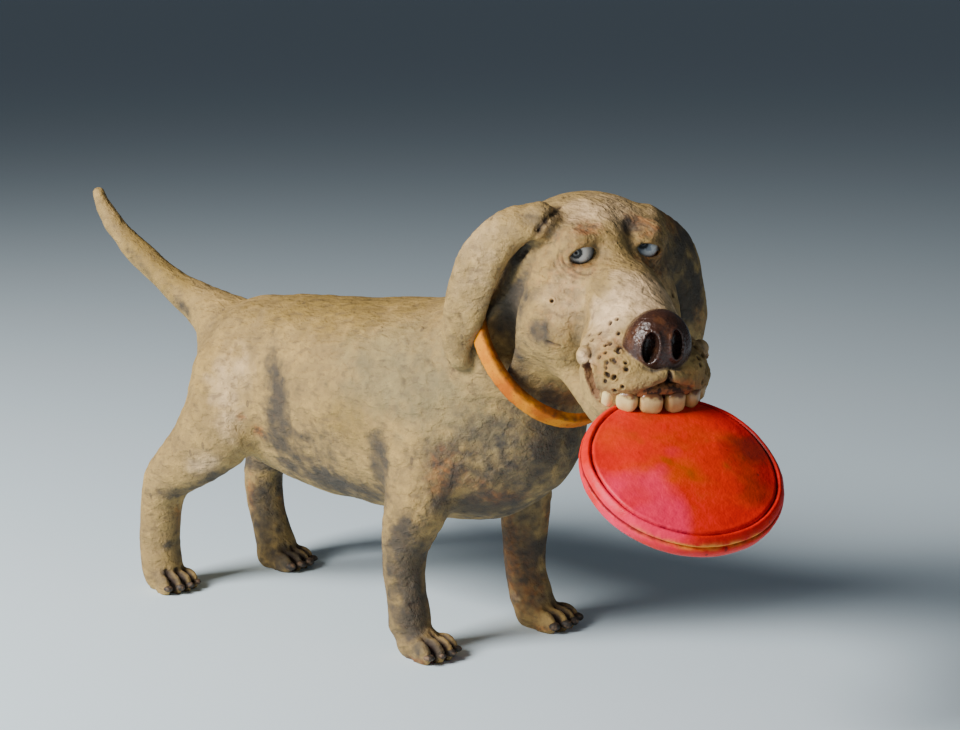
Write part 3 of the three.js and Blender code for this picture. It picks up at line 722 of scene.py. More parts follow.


# The smoked washes along the belly and the underside of the chest, in the flank fold, under the jaw, in the ear
# gap and throat, and on the far ear and far brow are painted shade; the rest are smoked marks.
STAINS = (
    Stain(Wash.SMOKE, (277, 400), (10, 44), 1.0, 4),
    Stain(Wash.SMOKE, (283, 445), (16, 24), 0.8),
    Stain(Wash.SMOKE, (258, 464), (34, 8), 0.9),
    Stain(Wash.SMOKE, (214, 478), (28, 6), 0.9, 20),
    Stain(Wash.SMOKE, (335, 482), (50, 12), 1.0, -14),
    Stain(Wash.SMOKE, (322, 446), (26, 16), 0.5),
    Stain(Wash.SMOKE, (381, 465), (9, 30), 0.95),
    Stain(Wash.SMOKE, (180, 492), (8, 4), 0.6, mirrored=False),
    Stain(Wash.SMOKE, (182, 545), (4, 20), 0.55, mirrored=False),
    Stain(Wash.SMOKE, (168, 545), (4.5, 4.5), 0.75, mirrored=False),
    Stain(Wash.SMOKE, (170, 578), (14, 7), 0.7, mirrored=False),
    Stain(Wash.SMOKE, (262, 505), (9, 24), 0.55, mirrored=False),
    Stain(Wash.SMOKE, (284, 478), (8, 14), 0.8, mirrored=False),
    Stain(Wash.SMOKE, (291, 556), (15, 12), 0.95, mirrored=False),
    Stain(Wash.SMOKE, (292, 525), (6, 18), 0.75, mirrored=False),
    Stain(Wash.SMOKE, (403, 521), (9, 7), 0.95),
    Stain(Wash.SMOKE, (396, 538), (9, 11), 0.65),
    Stain(Wash.SMOKE, (404, 565), (16, 38), 0.85),
    Stain(Wash.SMOKE, (414, 616), (16, 24), 0.85),
    Stain(Wash.SMOKE, (408, 590), (24, 62), 0.62),
    Stain(Wash.SMOKE, (478, 468), (52, 34), 0.42),
    Stain(Wash.SMOKE, (268, 522), (18, 40), 0.72, mirrored=False),
    Stain(Wash.SMOKE, (530, 560), (18, 44), 0.66, mirrored=False),
    Stain(Wash.RUST, (524, 575), (16, 36), 0.6, mirrored=False),
    Stain(Wash.SMOKE, (520, 478), (34, 24), 0.66),
    Stain(Wash.SMOKE, (150, 540), (10, 18), 0.15),
    Stain(Wash.SMOKE, (430, 650), (11, 7), 0.8, mirrored=False),
    Stain(Wash.SMOKE, (455, 474), (6, 28), 0.85, -28),
    Stain(Wash.SMOKE, (562, 438), (32, 14), 0.55),
    Stain(Wash.SMOKE, (585, 455), (14, 20), 0.6),
    Stain(Wash.SMOKE, (505, 436), (40, 18), 0.6),
    Stain(Wash.SMOKE, (480, 508), (46, 10), 0.95),
    Stain(Wash.SMOKE, (550, 405), (12, 24), 0.7, 40),
    Stain(Wash.RUST, (582, 255), (26, 24), 0.2),
    Stain(Wash.RUST, (650, 256), (16, 18), 0.4, mirrored=False),
    Stain(Wash.RUST, (556, 300), (26, 40), 0.14),
    Stain(Wash.SMOKE, (425, 452), (14, 9), 0.4),
    Stain(Wash.SMOKE, (540, 548), (9, 12), 0.95, mirrored=False),
    Stain(Wash.SMOKE, (528, 510), (8, 12), 0.55, mirrored=False),
    Stain(Wash.SMOKE, (562, 602), (14, 10), 0.7, mirrored=False),
    Stain(Wash.SMOKE, (541, 333), (8, 11), 0.85, mirrored=False),
    Stain(Wash.SMOKE, (517, 368), (13, 30), 0.8, -20),
    Stain(Wash.SMOKE, (512, 305), (12, 38), 1.0, -18),
    Stain(Wash.SMOKE, (541, 217), (10, 9), 0.45, mirrored=False),
    Stain(Wash.SMOKE, (682, 248), (16, 34), 1.0, -30, mirrored=False),
    Stain(Wash.SMOKE, (695, 286), (14, 26), 1.0, -15, mirrored=False),
    Stain(Wash.RUST, (672, 225), (12, 16), 0.7, -30, mirrored=False),
    Stain(Wash.RUST, (700, 318), (8, 14), 0.5, mirrored=False),
    Stain(Wash.SMOKE, (630, 226), (8, 8), 0.85, mirrored=False),
    Stain(Wash.SMOKE, (664, 262), (4, 6), 0.6, mirrored=False),
    Stain(Wash.SMOKE, (184, 307), (14, 4), 0.7, -42),
    Stain(Wash.SMOKE, (135, 258), (22, 3), 0.45, -48),
    Stain(Wash.OCHRE, (335, 305), (84, 16), 0.95),
    Stain(Wash.OCHRE, (160, 262), (60, 10), 0.85, -42),
    Stain(Wash.OCHRE, (475, 262), (26, 44), 0.15, mirrored=False),
    Stain(Wash.OCHRE, (345, 418), (34, 18), 0.55),
    Stain(Wash.OCHRE, (205, 380), (18, 34), 0.35),
    Stain(Wash.RUST, (258, 430), (6, 6), 1.0),
    Stain(Wash.RUST, (241, 416), (4, 4), 0.6),
    Stain(Wash.RUST, (447, 474), (16, 20), 0.75),
    Stain(Wash.RUST, (500, 497), (20, 7), 0.95, 8),
    Stain(Wash.RUST, (480, 484), (10, 5), 0.7),
    Stain(Wash.RUST, (508, 548), (7, 34), 0.85, 4, mirrored=False),
    Stain(Wash.RUST, (551, 520), (5, 24), 0.8, mirrored=False),
    Stain(Wash.RUST, (531, 590), (9, 16), 0.35, mirrored=False),
    Stain(Wash.RUST, (250, 492), (4, 18), 0.6, mirrored=False),
    Stain(Wash.RUST, (283, 505), (4, 14), 0.55, mirrored=False),
    Stain(Wash.RUST, (178, 516), (5, 14), 0.5, mirrored=False),
    Stain(Wash.RUST, (414, 662), (14, 2.5), 0.9, mirrored=False),
    Stain(Wash.RUST, (545, 629), (14, 2.5), 0.7, mirrored=False),
    Stain(Wash.RUST, (590, 229), (10, 6), 0.75, mirrored=False),
    Stain(Wash.RUST, (581, 266), (12, 5), 0.5, mirrored=False),
    Stain(Wash.RUST, (648, 262), (12, 5), 0.6, mirrored=False),
    Stain(Wash.RUST, (606, 352), (14, 20), 0.35),
    Stain(Wash.RUST, (690, 385), (10, 9), 0.7, mirrored=False),
    Stain(Wash.RUST, (640, 222), (10, 12), 0.8, mirrored=False),
    Stain(Wash.RUST, (560, 392), (14, 12), 0.45, -35),
    Stain(Wash.PALE, (642, 290), (24, 16), 0.75),
    Stain(Wash.PALE, (478, 250), (18, 44), 0.3, mirrored=False),
    Stain(Wash.PALE, (598, 212), (32, 14), 0.55),
    Stain(Wash.PALE, (612, 311), (20, 16), 0.95),
    Stain(Wash.PALE, (596, 342), (14, 14), 0.45),
    Stain(Wash.PALE, (566, 296), (18, 20), 0.4),
    Stain(Wash.PALE, (586, 357), (6, 5.5), 1.0),
    Stain(Wash.PALE, (515, 597), (4.5, 3.5), 1.0, mirrored=False),
    Stain(Wash.PALE, (200, 463), (16, 8), 0.6, 15),
    Stain(Wash.PALE, (228, 390), (16, 34), 0.5),
    Stain(Wash.COOL, (392, 372), (50, 38), 0.75),
    Stain(Wash.COOL, (448, 412), (34, 30), 0.6),
    Stain(Wash.COOL, (500, 440), (40, 20), 0.5),
)

# The whisker pits on the near cheek, in the photograph; the far cheek has the same, mirrored
WHISKER_PITS: tuple[Pixel, ...] = (
    (617, 319), (618, 333), (610, 323), (590, 335), (592.5, 340), (582.6, 336), (588, 345), (600, 333),
    (606, 345), (610, 343.6), (605.5, 352.5), (617, 350.6), (620, 348), (619, 352.5), (613, 359.5),
    (615, 361.7), (599.5, 357), (606.5, 362.7), (606, 368), (626.3, 369.5), (625.7, 362.7), (606, 373.6),
    (608.2, 375.5), (615, 376.7), (613.3, 378), (622.5, 387), (614.8, 391), (605, 381), (552, 301),
)


@dataclass(frozen=True)
class Cut:
    """A short cut in the clay between two pixels of the photograph."""

    start: Pixel
    end: Pixel
    width: float = 1.1
    depth: float = 0.9


CUTS = (
    Cut((546, 220), (552, 214), 1.4, 1.6),
    Cut((552, 214), (560, 206), 1.2, 1.2),
    Cut((546, 220), (538, 230), 1.4, 1.8),
    Cut((538, 230), (530, 242), 1.5, 2.2),
    Cut((530, 242), (520, 256), 1.8, 2.6),
    Cut((524, 200), (546, 196), 1.0, 0.7),
    Cut((523, 205), (546, 204), 1.0, 0.7),
    Cut((560, 199), (570, 196), 1.0, 0.8),
    Cut((548, 342), (560, 346), 1.0, 1.0),
    Cut((447, 312), (449, 320), 1.0, 0.8),
    Cut((459, 314), (458, 321), 1.0, 0.8),
    Cut((460, 347), (463, 343), 1.0, 0.6),
    Cut((478, 262), (483, 264), 1.0, 0.6),
    Cut((402, 378), (404, 383), 1.2, 0.8),
    Cut((428, 360), (432, 365), 1.2, 0.8),
    Cut((310, 424), (316, 419), 1.2, 0.7),
    Cut((449, 361), (452, 368), 1.2, 0.8),
    Cut((224, 360), (236, 344), 1.2, 0.5),
    Cut((410, 604), (415, 607), 1.4, 0.7),
)


@dataclass
class Hound:
    """The hound's one body of clay: trunk, legs, tail, head and ears."""

    packed: PackedFrame
    step: float = 2.5
    low: Triple = (-276.0, -120.0, -12.0)
    high: Triple = (306.0, 96.0, 312.0)
    block: int = 4
    face_reach: float = 64.0
    paw_reach: float = 24.0
    pit_radius: float = 1.15
    pit_depth: float = 1.9
    body: BodyForm = field(default_factory=BodyForm)
    head: HeadForm = field(default_factory=HeadForm)

    def form(self, points: np.ndarray) -> np.ndarray:
        """Measure to the whole hound, cut flat at its soles."""
        places = HEAD.inward(points)
        whole = press(self.body.distance(points), self.head.distance(places), 9)
        seam = 2.5 + 7.0 * np.clip((places[:, 2] + 4.0) / 14.0, 0.0, 1.0)
        whole = press(carve(whole, self.head.gaps(places), 3), self.head.ears(places), seam)
        return np.maximum(whole, -points[:, 2])

    def settle(self, mesh: bpy.types.Mesh, rounds: int = 2, chosen: np.ndarray | None = None) -> None:
        """Move a skin's vertices along its normals onto the clay's surface.

        Args:
            mesh: The skin in the clay frame.
            rounds: How many steps to take.
            chosen: Which vertices to move; all of them if left out.
        """
        points = self.vertices(mesh)
        which = np.arange(len(points)) if chosen is None else np.flatnonzero(chosen)
        for _ in range(rounds):
            here = np.clip(self.form(points[which]), -1.2, 1.2)
            points[which] -= self.normals(mesh)[which] * here[:, None]
            points[:, 2] = np.maximum(points[:, 2], 0.0)
            self.move(mesh, points)

    def first_skin(self) -> bpy.types.Mesh:
        """Wrap the form in quads on a regular grid."""
        low = np.array(self.low)
        cells = np.ceil((np.array(self.high) - low) / (self.step * self.block)).astype(int)
        blocks = np.stack(np.meshgrid(*(np.arange(n) for n in cells), indexing="ij"), -1).reshape(-1, 3)
        coarse = self.form(low + (blocks * self.block + (self.block - 1) / 2) * self.step)
        values = coarse.reshape(cells)
        for axis in range(3):
            values = values.repeat(self.block, axis)
        reach = 1.6 * self.step * self.block * math.sqrt(3) / 2
        offsets = np.array(list(np.ndindex(self.block, self.block, self.block)))
        near = (blocks[np.abs(coarse) < reach][:, None] * self.block + offsets).reshape(-1, 3)
        values[tuple(near.T)] = self.form(low + near * self.step)
        grid = openvdb.FloatGrid(background=float(values.max()))
        grid.copyFromArray(np.ascontiguousarray(values, np.float32))
        points, quads = grid.convertToQuads(isovalue=0.0)
        mesh = bpy.data.meshes.new("dog_clay")
        mesh.from_pydata((low + points * self.step).tolist(), [], quads.astype(int).tolist())
        mesh.validate()
        mesh.update()
        return mesh

    @staticmethod
    def vertices(mesh: bpy.types.Mesh) -> np.ndarray:
        """Read a mesh's vertices."""
        flat = np.empty(len(mesh.vertices) * 3, np.float32)
        mesh.vertices.foreach_get("co", flat)
        return flat.reshape(-1, 3).astype(float)

    @staticmethod
    def normals(mesh: bpy.types.Mesh) -> np.ndarray:
        """Read a mesh's outward vertex normals."""
        flat = np.empty(len(mesh.vertices) * 3, np.float32)
        mesh.vertex_normals.foreach_get("vector", flat)
        return flat.reshape(-1, 3).astype(float)

    @staticmethod
    def move(mesh: bpy.types.Mesh, points: np.ndarray) -> None:
        """Write a mesh's vertices."""
        mesh.vertices.foreach_set("co", points.astype(np.float32).ravel())
        mesh.update()

    def divide(self, mesh: bpy.types.Mesh, wanted: np.ndarray) -> None:
        """Halve the faces where every vertex is wanted, and settle the result.

        Args:
            mesh: The skin in the clay frame.
            wanted: Whether each vertex lies where finer faces go.
        """
        shape = bmesh.new()
        shape.from_mesh(mesh)
        shape.verts.ensure_lookup_table()
        edges = [e for e in shape.edges if wanted[e.verts[0].index] and wanted[e.verts[1].index]]
        bmesh.ops.subdivide_edges(shape, edges=edges, cuts=1, use_grid_fill=True)
        before = len(mesh.vertices)
        shape.to_mesh(mesh)
        shape.free()
        self.settle(mesh, 2, np.arange(len(mesh.vertices)) >= before)

    def near_face(self, points: np.ndarray) -> np.ndarray:
        """Tell which vertices belong to the face, as far back as the brow and the cheeks."""
        places = HEAD.inward(points)
        return (np.linalg.norm(places - (44.0, 0.0, -30.0), axis=1) < self.face_reach) & (places[:, 0] > -12)

    def near_detail(self, points: np.ndarray, pits: np.ndarray) -> np.ndarray:
        """Tell which vertices lie by an eye, a nostril, a lip or a whisker pit."""
        places = HEAD.inward(points)
        spots = [(*EYES["left"].at, 14.0), (*EYES["right"].at, 14.0), (86.0, -3.0, -26.0, 17.0),
                 (88.0, 0.0, -50.0, 14.0), (60.0, -32.0, -51.0, 13.0), (60.0, 32.0, -51.0, 10.0)]
        found = np.zeros(len(points), bool)
        for x, y, z, reach in spots:
            found |= np.linalg.norm(places - (x, y, z), axis=1) < reach
        found &= places[:, 0] > -6
        for pit in pits:
            found |= np.linalg.norm(points - pit, axis=1) < 3.2
        return found

    def near_paws(self, points: np.ndarray) -> np.ndarray:
        """Tell which vertices belong to the toes."""
        found = np.zeros(len(points), bool)
        for leg in LEGS.values():
            found |= np.linalg.norm(points - leg.paw.place(6.0, 0.0, 6.0), axis=1) < self.paw_reach
        return found & (points[:, 2] > 0.05)

    def seen(self, tree: BVHTree, pixel: Pixel) -> np.ndarray:
        """Find the clay that the photograph shows at a pixel, or the nearest to it.

        Args:
            tree: The skin in the clay frame.
            pixel: Where to look.

        Returns:
            The place in the clay frame.
        """
        ray = VIEW.ray(pixel)
        hit = tree.ray_cast(Vector(VIEW.eye), Vector(ray))[0]
        if hit is not None:
            return np.array(hit)
        tries = [tree.find_nearest(Vector(VIEW.eye + ray * away)) for away in np.arange(1100.0, 1700.0, 20.0)]
        return np.array(min(tries, key=lambda found: found[3])[0])

    def unevenness(self, points: np.ndarray, on_head: np.ndarray) -> np.ndarray:
        """Give the hand-worked surface: broad presses, finger smears and a coarser chest."""
        broad = 1.0 * lattice_noise(points, 26.0, 3) + 0.45 * lattice_noise(points, 11.0, 5)
        smears = 0.22 * lattice_noise(points * (0.4, 1.0, 1.0), 3.6, 7)
        tooth = 0.1 * lattice_noise(points, 2.3, 11)
        chest = np.exp(-(np.linalg.norm((points - (112.0, -30.0, 130.0)) / (48.0, 60.0, 42.0), axis=1) ** 2))
        coarse = 0.55 * chest * lattice_noise(points, 5.2, 13)
        return broad * np.where(on_head, 0.35, 1.0) + smears + tooth + coarse * ~on_head

    def pits(self, points: np.ndarray, centres: np.ndarray) -> np.ndarray:
        """Press the whisker pits, each with a burr thrown up round it."""
        relief = np.zeros(len(points))
        for i, centre in enumerate(centres):
            away = np.linalg.norm(points - centre, axis=1)
            near = away < 5.0
            radius = self.pit_radius * (0.85 + 0.3 * ((i * 7) % 5) / 4)
            hole = -self.pit_depth * np.exp(-((away[near] / radius) ** 4))
            burr = 0.35 * np.exp(-(((away[near] - 1.75 * radius) / 0.6) ** 2))
            relief[near] += hole + burr
        return relief

    def cuts(self, points: np.ndarray, tree: BVHTree) -> np.ndarray:
        """Press the short tool cuts."""
        relief = np.zeros(len(points))
        for cut in CUTS:
            start, end = self.seen(tree, cut.start), self.seen(tree, cut.end)
            run = end - start
            t = np.clip((points - start) @ run / max(run.dot(run), 1e-6), 0.0, 1.0)[:, None]
            away = np.linalg.norm(points - start - run * t, axis=1)
            relief -= cut.depth * np.exp(-((away / cut.width) ** 2))
            relief += 0.3 * cut.depth * np.exp(-(((away - 2.0 * cut.width) / cut.width) ** 2))
        return relief

    def lid_wrinkles(self, places: np.ndarray) -> np.ndarray:
        """Press the wrinkles that ring each eye, deepest below it."""
        relief = np.zeros(len(places))
        for eye in EYES.values():
            away = np.linalg.norm(places - np.array(eye.at), axis=1)
            near = (away < 22) & (places[:, 0] > eye.at[0])
            ring = eye.almond.distance(places[near])
            wobble = 0.5 * lattice_noise(places[near], 4.0, 17)
            below = np.clip(0.6 - (places[near][:, 2] - eye.at[2]) / 10.0, 0.15, 1.0)
            for gap, depth in ((3.4, 0.75), (5.9, 0.6), (8.6, 0.4)):
                relief[near] -= depth * below * np.exp(-(((ring + wobble - gap) / 0.65) ** 2))
        return relief

    def build(self) -> bpy.types.Object:
        """Make the skin, press its fine relief and paint its masks."""
        mesh = self.first_skin()
        self.settle(mesh)
        log.info("first skin: %d faces", len(mesh.polygons))
        faces = [tuple(p.vertices) for p in mesh.polygons]
        tree = BVHTree.FromPolygons(self.vertices(mesh).tolist(), faces)
        near_pits = np.array([self.seen(tree, pixel) for pixel in WHISKER_PITS])
        far_pits = HEAD.outward(HEAD.inward(near_pits) * (1.0, -1.0, 1.0))
        pits = np.vstack([near_pits, far_pits])
        points = self.vertices(mesh)
        self.divide(mesh, self.near_face(points) | self.near_paws(points))
        self.divide(mesh, self.near_detail(self.vertices(mesh), pits))
        log.info("divided skin: %d faces", len(mesh.polygons))
        points, normals = self.vertices(mesh), self.normals(mesh)
        places = HEAD.inward(points)
        on_head = self.head.distance(places) < self.body.distance(points)
        snout = np.clip(0.4 + 0.9 * (self.head.face(places) - self.head.nose.distance(places)), 0, 1)
        snout *= places[:, 0] > 60
        holes = np.minimum.reduce([n.distance(places) for n in self.head.nostrils])
        grooves = sum(leg.paw.grooves(points) for leg in LEGS.values())
        pressed = self.pits(points, pits) + self.cuts(points, tree) + self.lid_wrinkles(places) - 1.4 * grooves
        relief = self.unevenness(points, on_head) * (1.0 - 0.7 * snout) + pressed
        # How enclosed each place is: it marks the dark wash left in the hollows, and paints shade into the
        # recesses.
        hollow = np.clip(1 - self.form(points + 5.0 * normals) / 5.0, 0, 1)
        masks = self.washes(points, places, tree, on_head)
        masks["hollow"] = np.clip(1.5 * hollow - 0.25, 0, 1)
        # Pressed pits, cuts, lid wrinkles and toe grooves hold dark wash and take painted shade.
        masks["pressed"] = np.clip(-pressed / 1.1, 0, 1)
        masks["nose"] = snout
        masks["nostril"] = np.clip((0.6 - holes) / 1.0, 0, 1)
        folded = places * (1.0, -1.0, 1.0) * (places[:, 1:2] < 0) + places * (places[:, 1:2] >= 0)
        masks["slot"] = np.clip((0.5 - self.head.corner_slot.distance(folded)) / 0.9, 0, 1)
        masks["gum"] = np.clip((0.9 - self.head.mouth_arch.distance(places)) / 1.2, 0, 1) * (1 - snout)
        moved = points + normals * relief[:, None] * (points[:, 2:3] > 0.05)
        moved[:, 2] = np.maximum(moved[:, 2], 0.0)
        self.move(mesh, self.packed.place(moved))
        mesh.shade_smooth()
        made = bpy.data.objects.new("dog_clay", mesh)
        bpy.context.scene.collection.objects.link(made)
        for name, mask in masks.items():
            paint(made, name, mask)
        return made

    def washes(
        self, points: np.ndarray, places: np.ndarray, tree: BVHTree, on_head: np.ndarray
    ) -> dict[str, np.ndarray]:
        """Brush each wash on the side seen in the photograph, and like it on the other side.

        Args:
            points: Vertices in the clay frame.
            places: The same in the head frame.
            tree: The skin, to find what a pixel shows.
            on_head: Whether each vertex belongs to the head.

        Returns:
            Each wash's mask.
        """
        other = np.where(on_head[:, None], HEAD.outward(places * (1.0, -1.0, 1.0)), points * (1.0, -1.0, 1.0))
        ragged = 0.30 * lattice_noise(points, 9.0, 19) + 0.22 * lattice_noise(points, 3.5, 23)
        masks = {wash.value: np.zeros(len(points)) for wash in Wash}
        for stain in STAINS:
            middle = self.seen(tree, stain.pixel)
            c, s = math.cos(math.radians(stain.tilt)), math.sin(math.radians(stain.tilt))
            right, up, back = VIEW.axes.T
            axes = np.column_stack([c * right + s * up, c * up - s * right, back])
            half = np.array([*stain.half, max(*stain.half, 10.0)])
            for where, share in ((points, 1.0), (other, 0.85 * stain.mirrored)):
                if share == 0:
                    continue
                away = np.linalg.norm(((where - middle) @ axes) / half, axis=1)
                patch = np.clip(1.25 - away - ragged, 0.0, 1.0)
                patch = stain.strength * share * patch * patch * (3 - 2 * patch)
                masks[stain.wash.value] = 1 - (1 - masks[stain.wash.value]) * (1 - patch)
        return masks


# Finishes


@dataclass
class Graph:
    """A node tree under construction, for a material or a shared effect."""

    tree: bpy.types.NodeTree

    def add(self, kind: str, **settings: object) -> bpy.types.Node:
        """Add a node and set its properties."""
        node = self.tree.nodes.new(kind)
        for name, value in settings.items():
            setattr(node, name, value)
        return node

    def join(self, source: object, target: bpy.types.NodeSocket) -> None:
        """Feed a socket from another socket or from a plain value."""
        if isinstance(source, bpy.types.NodeSocket):
            self.tree.links.new(source, target)
        else:
            colour = isinstance(source, tuple) and target.type == "RGBA"
            target.default_value = (*source, 1.0) if colour else source

    def math(self, operation: str, *values: object, clamp: bool = False) -> bpy.types.NodeSocket:
        """Work a number out of others."""
        node = self.add("ShaderNodeMath", operation=operation, use_clamp=clamp)
        for socket, value in zip(node.inputs, values):
            self.join(value, socket)
        return node.outputs[0]

    def mask(self, name: str) -> bpy.types.NodeSocket:
        """Read a mask painted on the vertices."""
        return self.add("ShaderNodeAttribute", attribute_name=name).outputs["Fac"]

    def mix(self, share: object, a: object, b: object, blend: str = "MIX") -> bpy.types.NodeSocket:
        """Mix two colours."""
        node = self.add("ShaderNodeMix", data_type="RGBA", blend_type=blend)
        self.join(share, node.inputs[0])
        self.join(a, node.inputs[6])
        self.join(b, node.inputs[7])
        return node.outputs[2]

    def noise(self, scale: float, detail: float = 4.0, stretch: Triple = (1, 1, 1)) -> bpy.types.NodeSocket:
        """Make noise on Object coordinates, with its scale in bumps to a metre."""
        place = self.add("ShaderNodeTexCoord").outputs["Object"]
        mapping = self.add("ShaderNodeMapping")
        self.join(place, mapping.inputs["Vector"])
        mapping.inputs["Scale"].default_value = stretch
        node = self.add("ShaderNodeTexNoise")
        self.join(mapping.outputs[0], node.inputs["Vector"])
        node.inputs["Scale"].default_value = scale
        node.inputs["Detail"].default_value = detail
        return node.outputs["Fac"]

    def ramp(self, value: object, low: float, high: float) -> bpy.types.NodeSocket:
        """Spread a value smoothly from 0 at low to 1 at high."""
        node = self.add("ShaderNodeMapRange", interpolation_type="SMOOTHSTEP")
        self.join(value, node.inputs["Value"])
        node.inputs["From Min"].default_value = low
        node.inputs["From Max"].default_value = high
        return node.outputs[0]

    def effect(self, group: bpy.types.NodeTree, **inputs: object) -> bpy.types.Node:
        """Place a shared effect with its own values; an underscore stands for a space."""
        node = self.add("ShaderNodeGroup", node_tree=group)
        for name, value in inputs.items():
            self.join(value, node.inputs[name.replace("_", " ")])
        return node


def effect_tree(name: str, inputs: dict[str, float], outputs: Sequence[str]) -> tuple[Graph, dict, dict]:
    """Start a shared effect with named number inputs and outputs.

    Args:
        name: The effect's name.
        inputs: Each input and its usual value.
        outputs: The outputs.

    Returns:
        The graph, the inner input sockets and the inner output sockets.
    """
    tree = bpy.data.node_groups.new(name, "ShaderNodeTree")
    for label, value in inputs.items():
        tree.interface.new_socket(label, in_out="INPUT", socket_type="NodeSocketFloat").default_value = value
    for label in outputs:
        tree.interface.new_socket(label, in_out="OUTPUT", socket_type="NodeSocketFloat")
    graph = Graph(tree)
    source, sink = graph.add("NodeGroupInput"), graph.add("NodeGroupOutput")
    return graph, dict(source.outputs.items()), dict(sink.inputs.items())


@dataclass
class SharedEffects:
    """Effects that several finishes use: fired grain, ragged wash edges, and tool nicks."""

    grain: bpy.types.NodeTree = field(init=False)
    ragged: bpy.types.NodeTree = field(init=False)
    nicks: bpy.types.NodeTree = field(init=False)

    def __post_init__(self) -> None:
        """Build each effect once."""
        self.grain = self._grain()
        self.ragged = self._ragged()
        self.nicks = self._nicks()

    @staticmethod
    def _sized(graph: Graph, kind: str, per_metre: object, stretch: Triple = (1, 1, 1)) -> bpy.types.Node:
        """Place a texture on Object coordinates at a scale that an input gives."""
        place = graph.add("ShaderNodeTexCoord").outputs["Object"]
        mapping = graph.add("ShaderNodeMapping")
        graph.join(place, mapping.inputs["Vector"])
        mapping.inputs["Scale"].default_value = stretch
        node = graph.add(kind)
        graph.join(mapping.outputs[0], node.inputs["Vector"])
        graph.join(per_metre, node.inputs["Scale"])
        return node

    def _grain(self) -> bpy.types.NodeTree:
        """Make fired grain: a mottle between -0.5 and 0.5, fine specks, and a height."""
        graph, source, sink = effect_tree("fired grain", {"Scale": 200.0}, ("Mottle", "Speck", "Height"))
        fine = self._sized(graph, "ShaderNodeTexNoise", source["Scale"])
        fine.inputs["Detail"].default_value = 6.0
        broad = self._sized(graph, "ShaderNodeTexNoise", graph.math("MULTIPLY", source["Scale"], 0.22))
        broad.inputs["Detail"].default_value = 5.0
        both = graph.math("ADD", fine.outputs["Fac"], broad.outputs["Fac"])
        graph.join(graph.math("SUBTRACT", graph.math("MULTIPLY", both, 0.5), 0.5), sink["Mottle"])
        specks = self._sized(graph, "ShaderNodeTexNoise", graph.math("MULTIPLY", source["Scale"], 3.2))
        graph.join(graph.ramp(specks.outputs["Fac"], 0.64, 0.72), sink["Speck"])
        graph.join(graph.math("ADD", both, graph.math("MULTIPLY", specks.outputs["Fac"], 0.5)), sink["Height"])
        return graph.tree

    def _ragged(self) -> bpy.types.NodeTree:
        """Break a soft mask's edge up, as a wash settles in rough clay."""
        graph, source, sink = effect_tree("ragged wash", {"Mask": 0.0, "Scale": 240.0, "Break": 0.5}, ("Mask",))
        noise = self._sized(graph, "ShaderNodeTexNoise", source["Scale"])
        noise.inputs["Detail"].default_value = 5.0
        swing = graph.math("MULTIPLY", graph.math("SUBTRACT", noise.outputs["Fac"], 0.5), source["Break"])
        middle = graph.math("MULTIPLY", source["Mask"], graph.math("SUBTRACT", 1.0, source["Mask"]))
        shifted = graph.math("MULTIPLY_ADD", graph.math("MULTIPLY", middle, 8.0), swing, source["Mask"])
        graph.join(graph.math("ADD", shifted, 0.0, clamp=True), sink["Mask"])
        return graph.tree

    def _nicks(self) -> bpy.types.NodeTree:
        """Scatter short tool nicks: 1 in a nick, 0 elsewhere."""
        graph, source, sink = effect_tree("tool nicks", {"Scale": 90.0, "Share": 0.3}, ("Mask",))
        cells = self._sized(graph, "ShaderNodeTexVoronoi", source["Scale"], (1.0, 1.0, 0.42))
        chosen = graph.add("ShaderNodeSeparateColor")
        graph.join(cells.outputs["Color"], chosen.inputs[0])
        picked = graph.math("LESS_THAN", chosen.outputs[0], source["Share"])
        size = graph.math("MULTIPLY_ADD", chosen.outputs[1], 0.08, 0.05)
        near = graph.math("LESS_THAN", cells.outputs["Distance"], size)
        graph.join(graph.math("MULTIPLY", near, picked), sink["Mask"])
        return graph.tree


def surface(name: str) -> tuple[bpy.types.Material, Graph, bpy.types.Node]:
    """Start a material and give its graph and its Principled shader."""
    material = bpy.data.materials.new(name)
    material.use_nodes = True
    graph = Graph(material.node_tree)
    shader = next(n for n in material.node_tree.nodes if n.type == "BSDF_PRINCIPLED")
    return material, graph, shader


def raise_relief(graph: Graph, shader: bpy.types.Node, height: object, depth: float) -> None:
    """Feed a height, in millimetres of depth, to a shader's normal."""
    bump = graph.add("ShaderNodeBump")
    bump.inputs["Distance"].default_value = depth * MM
    bump.inputs["Strength"].default_value = 1.0
    graph.join(height, bump.inputs["Height"])
    graph.join(bump.outputs[0], shader.inputs["Normal"])


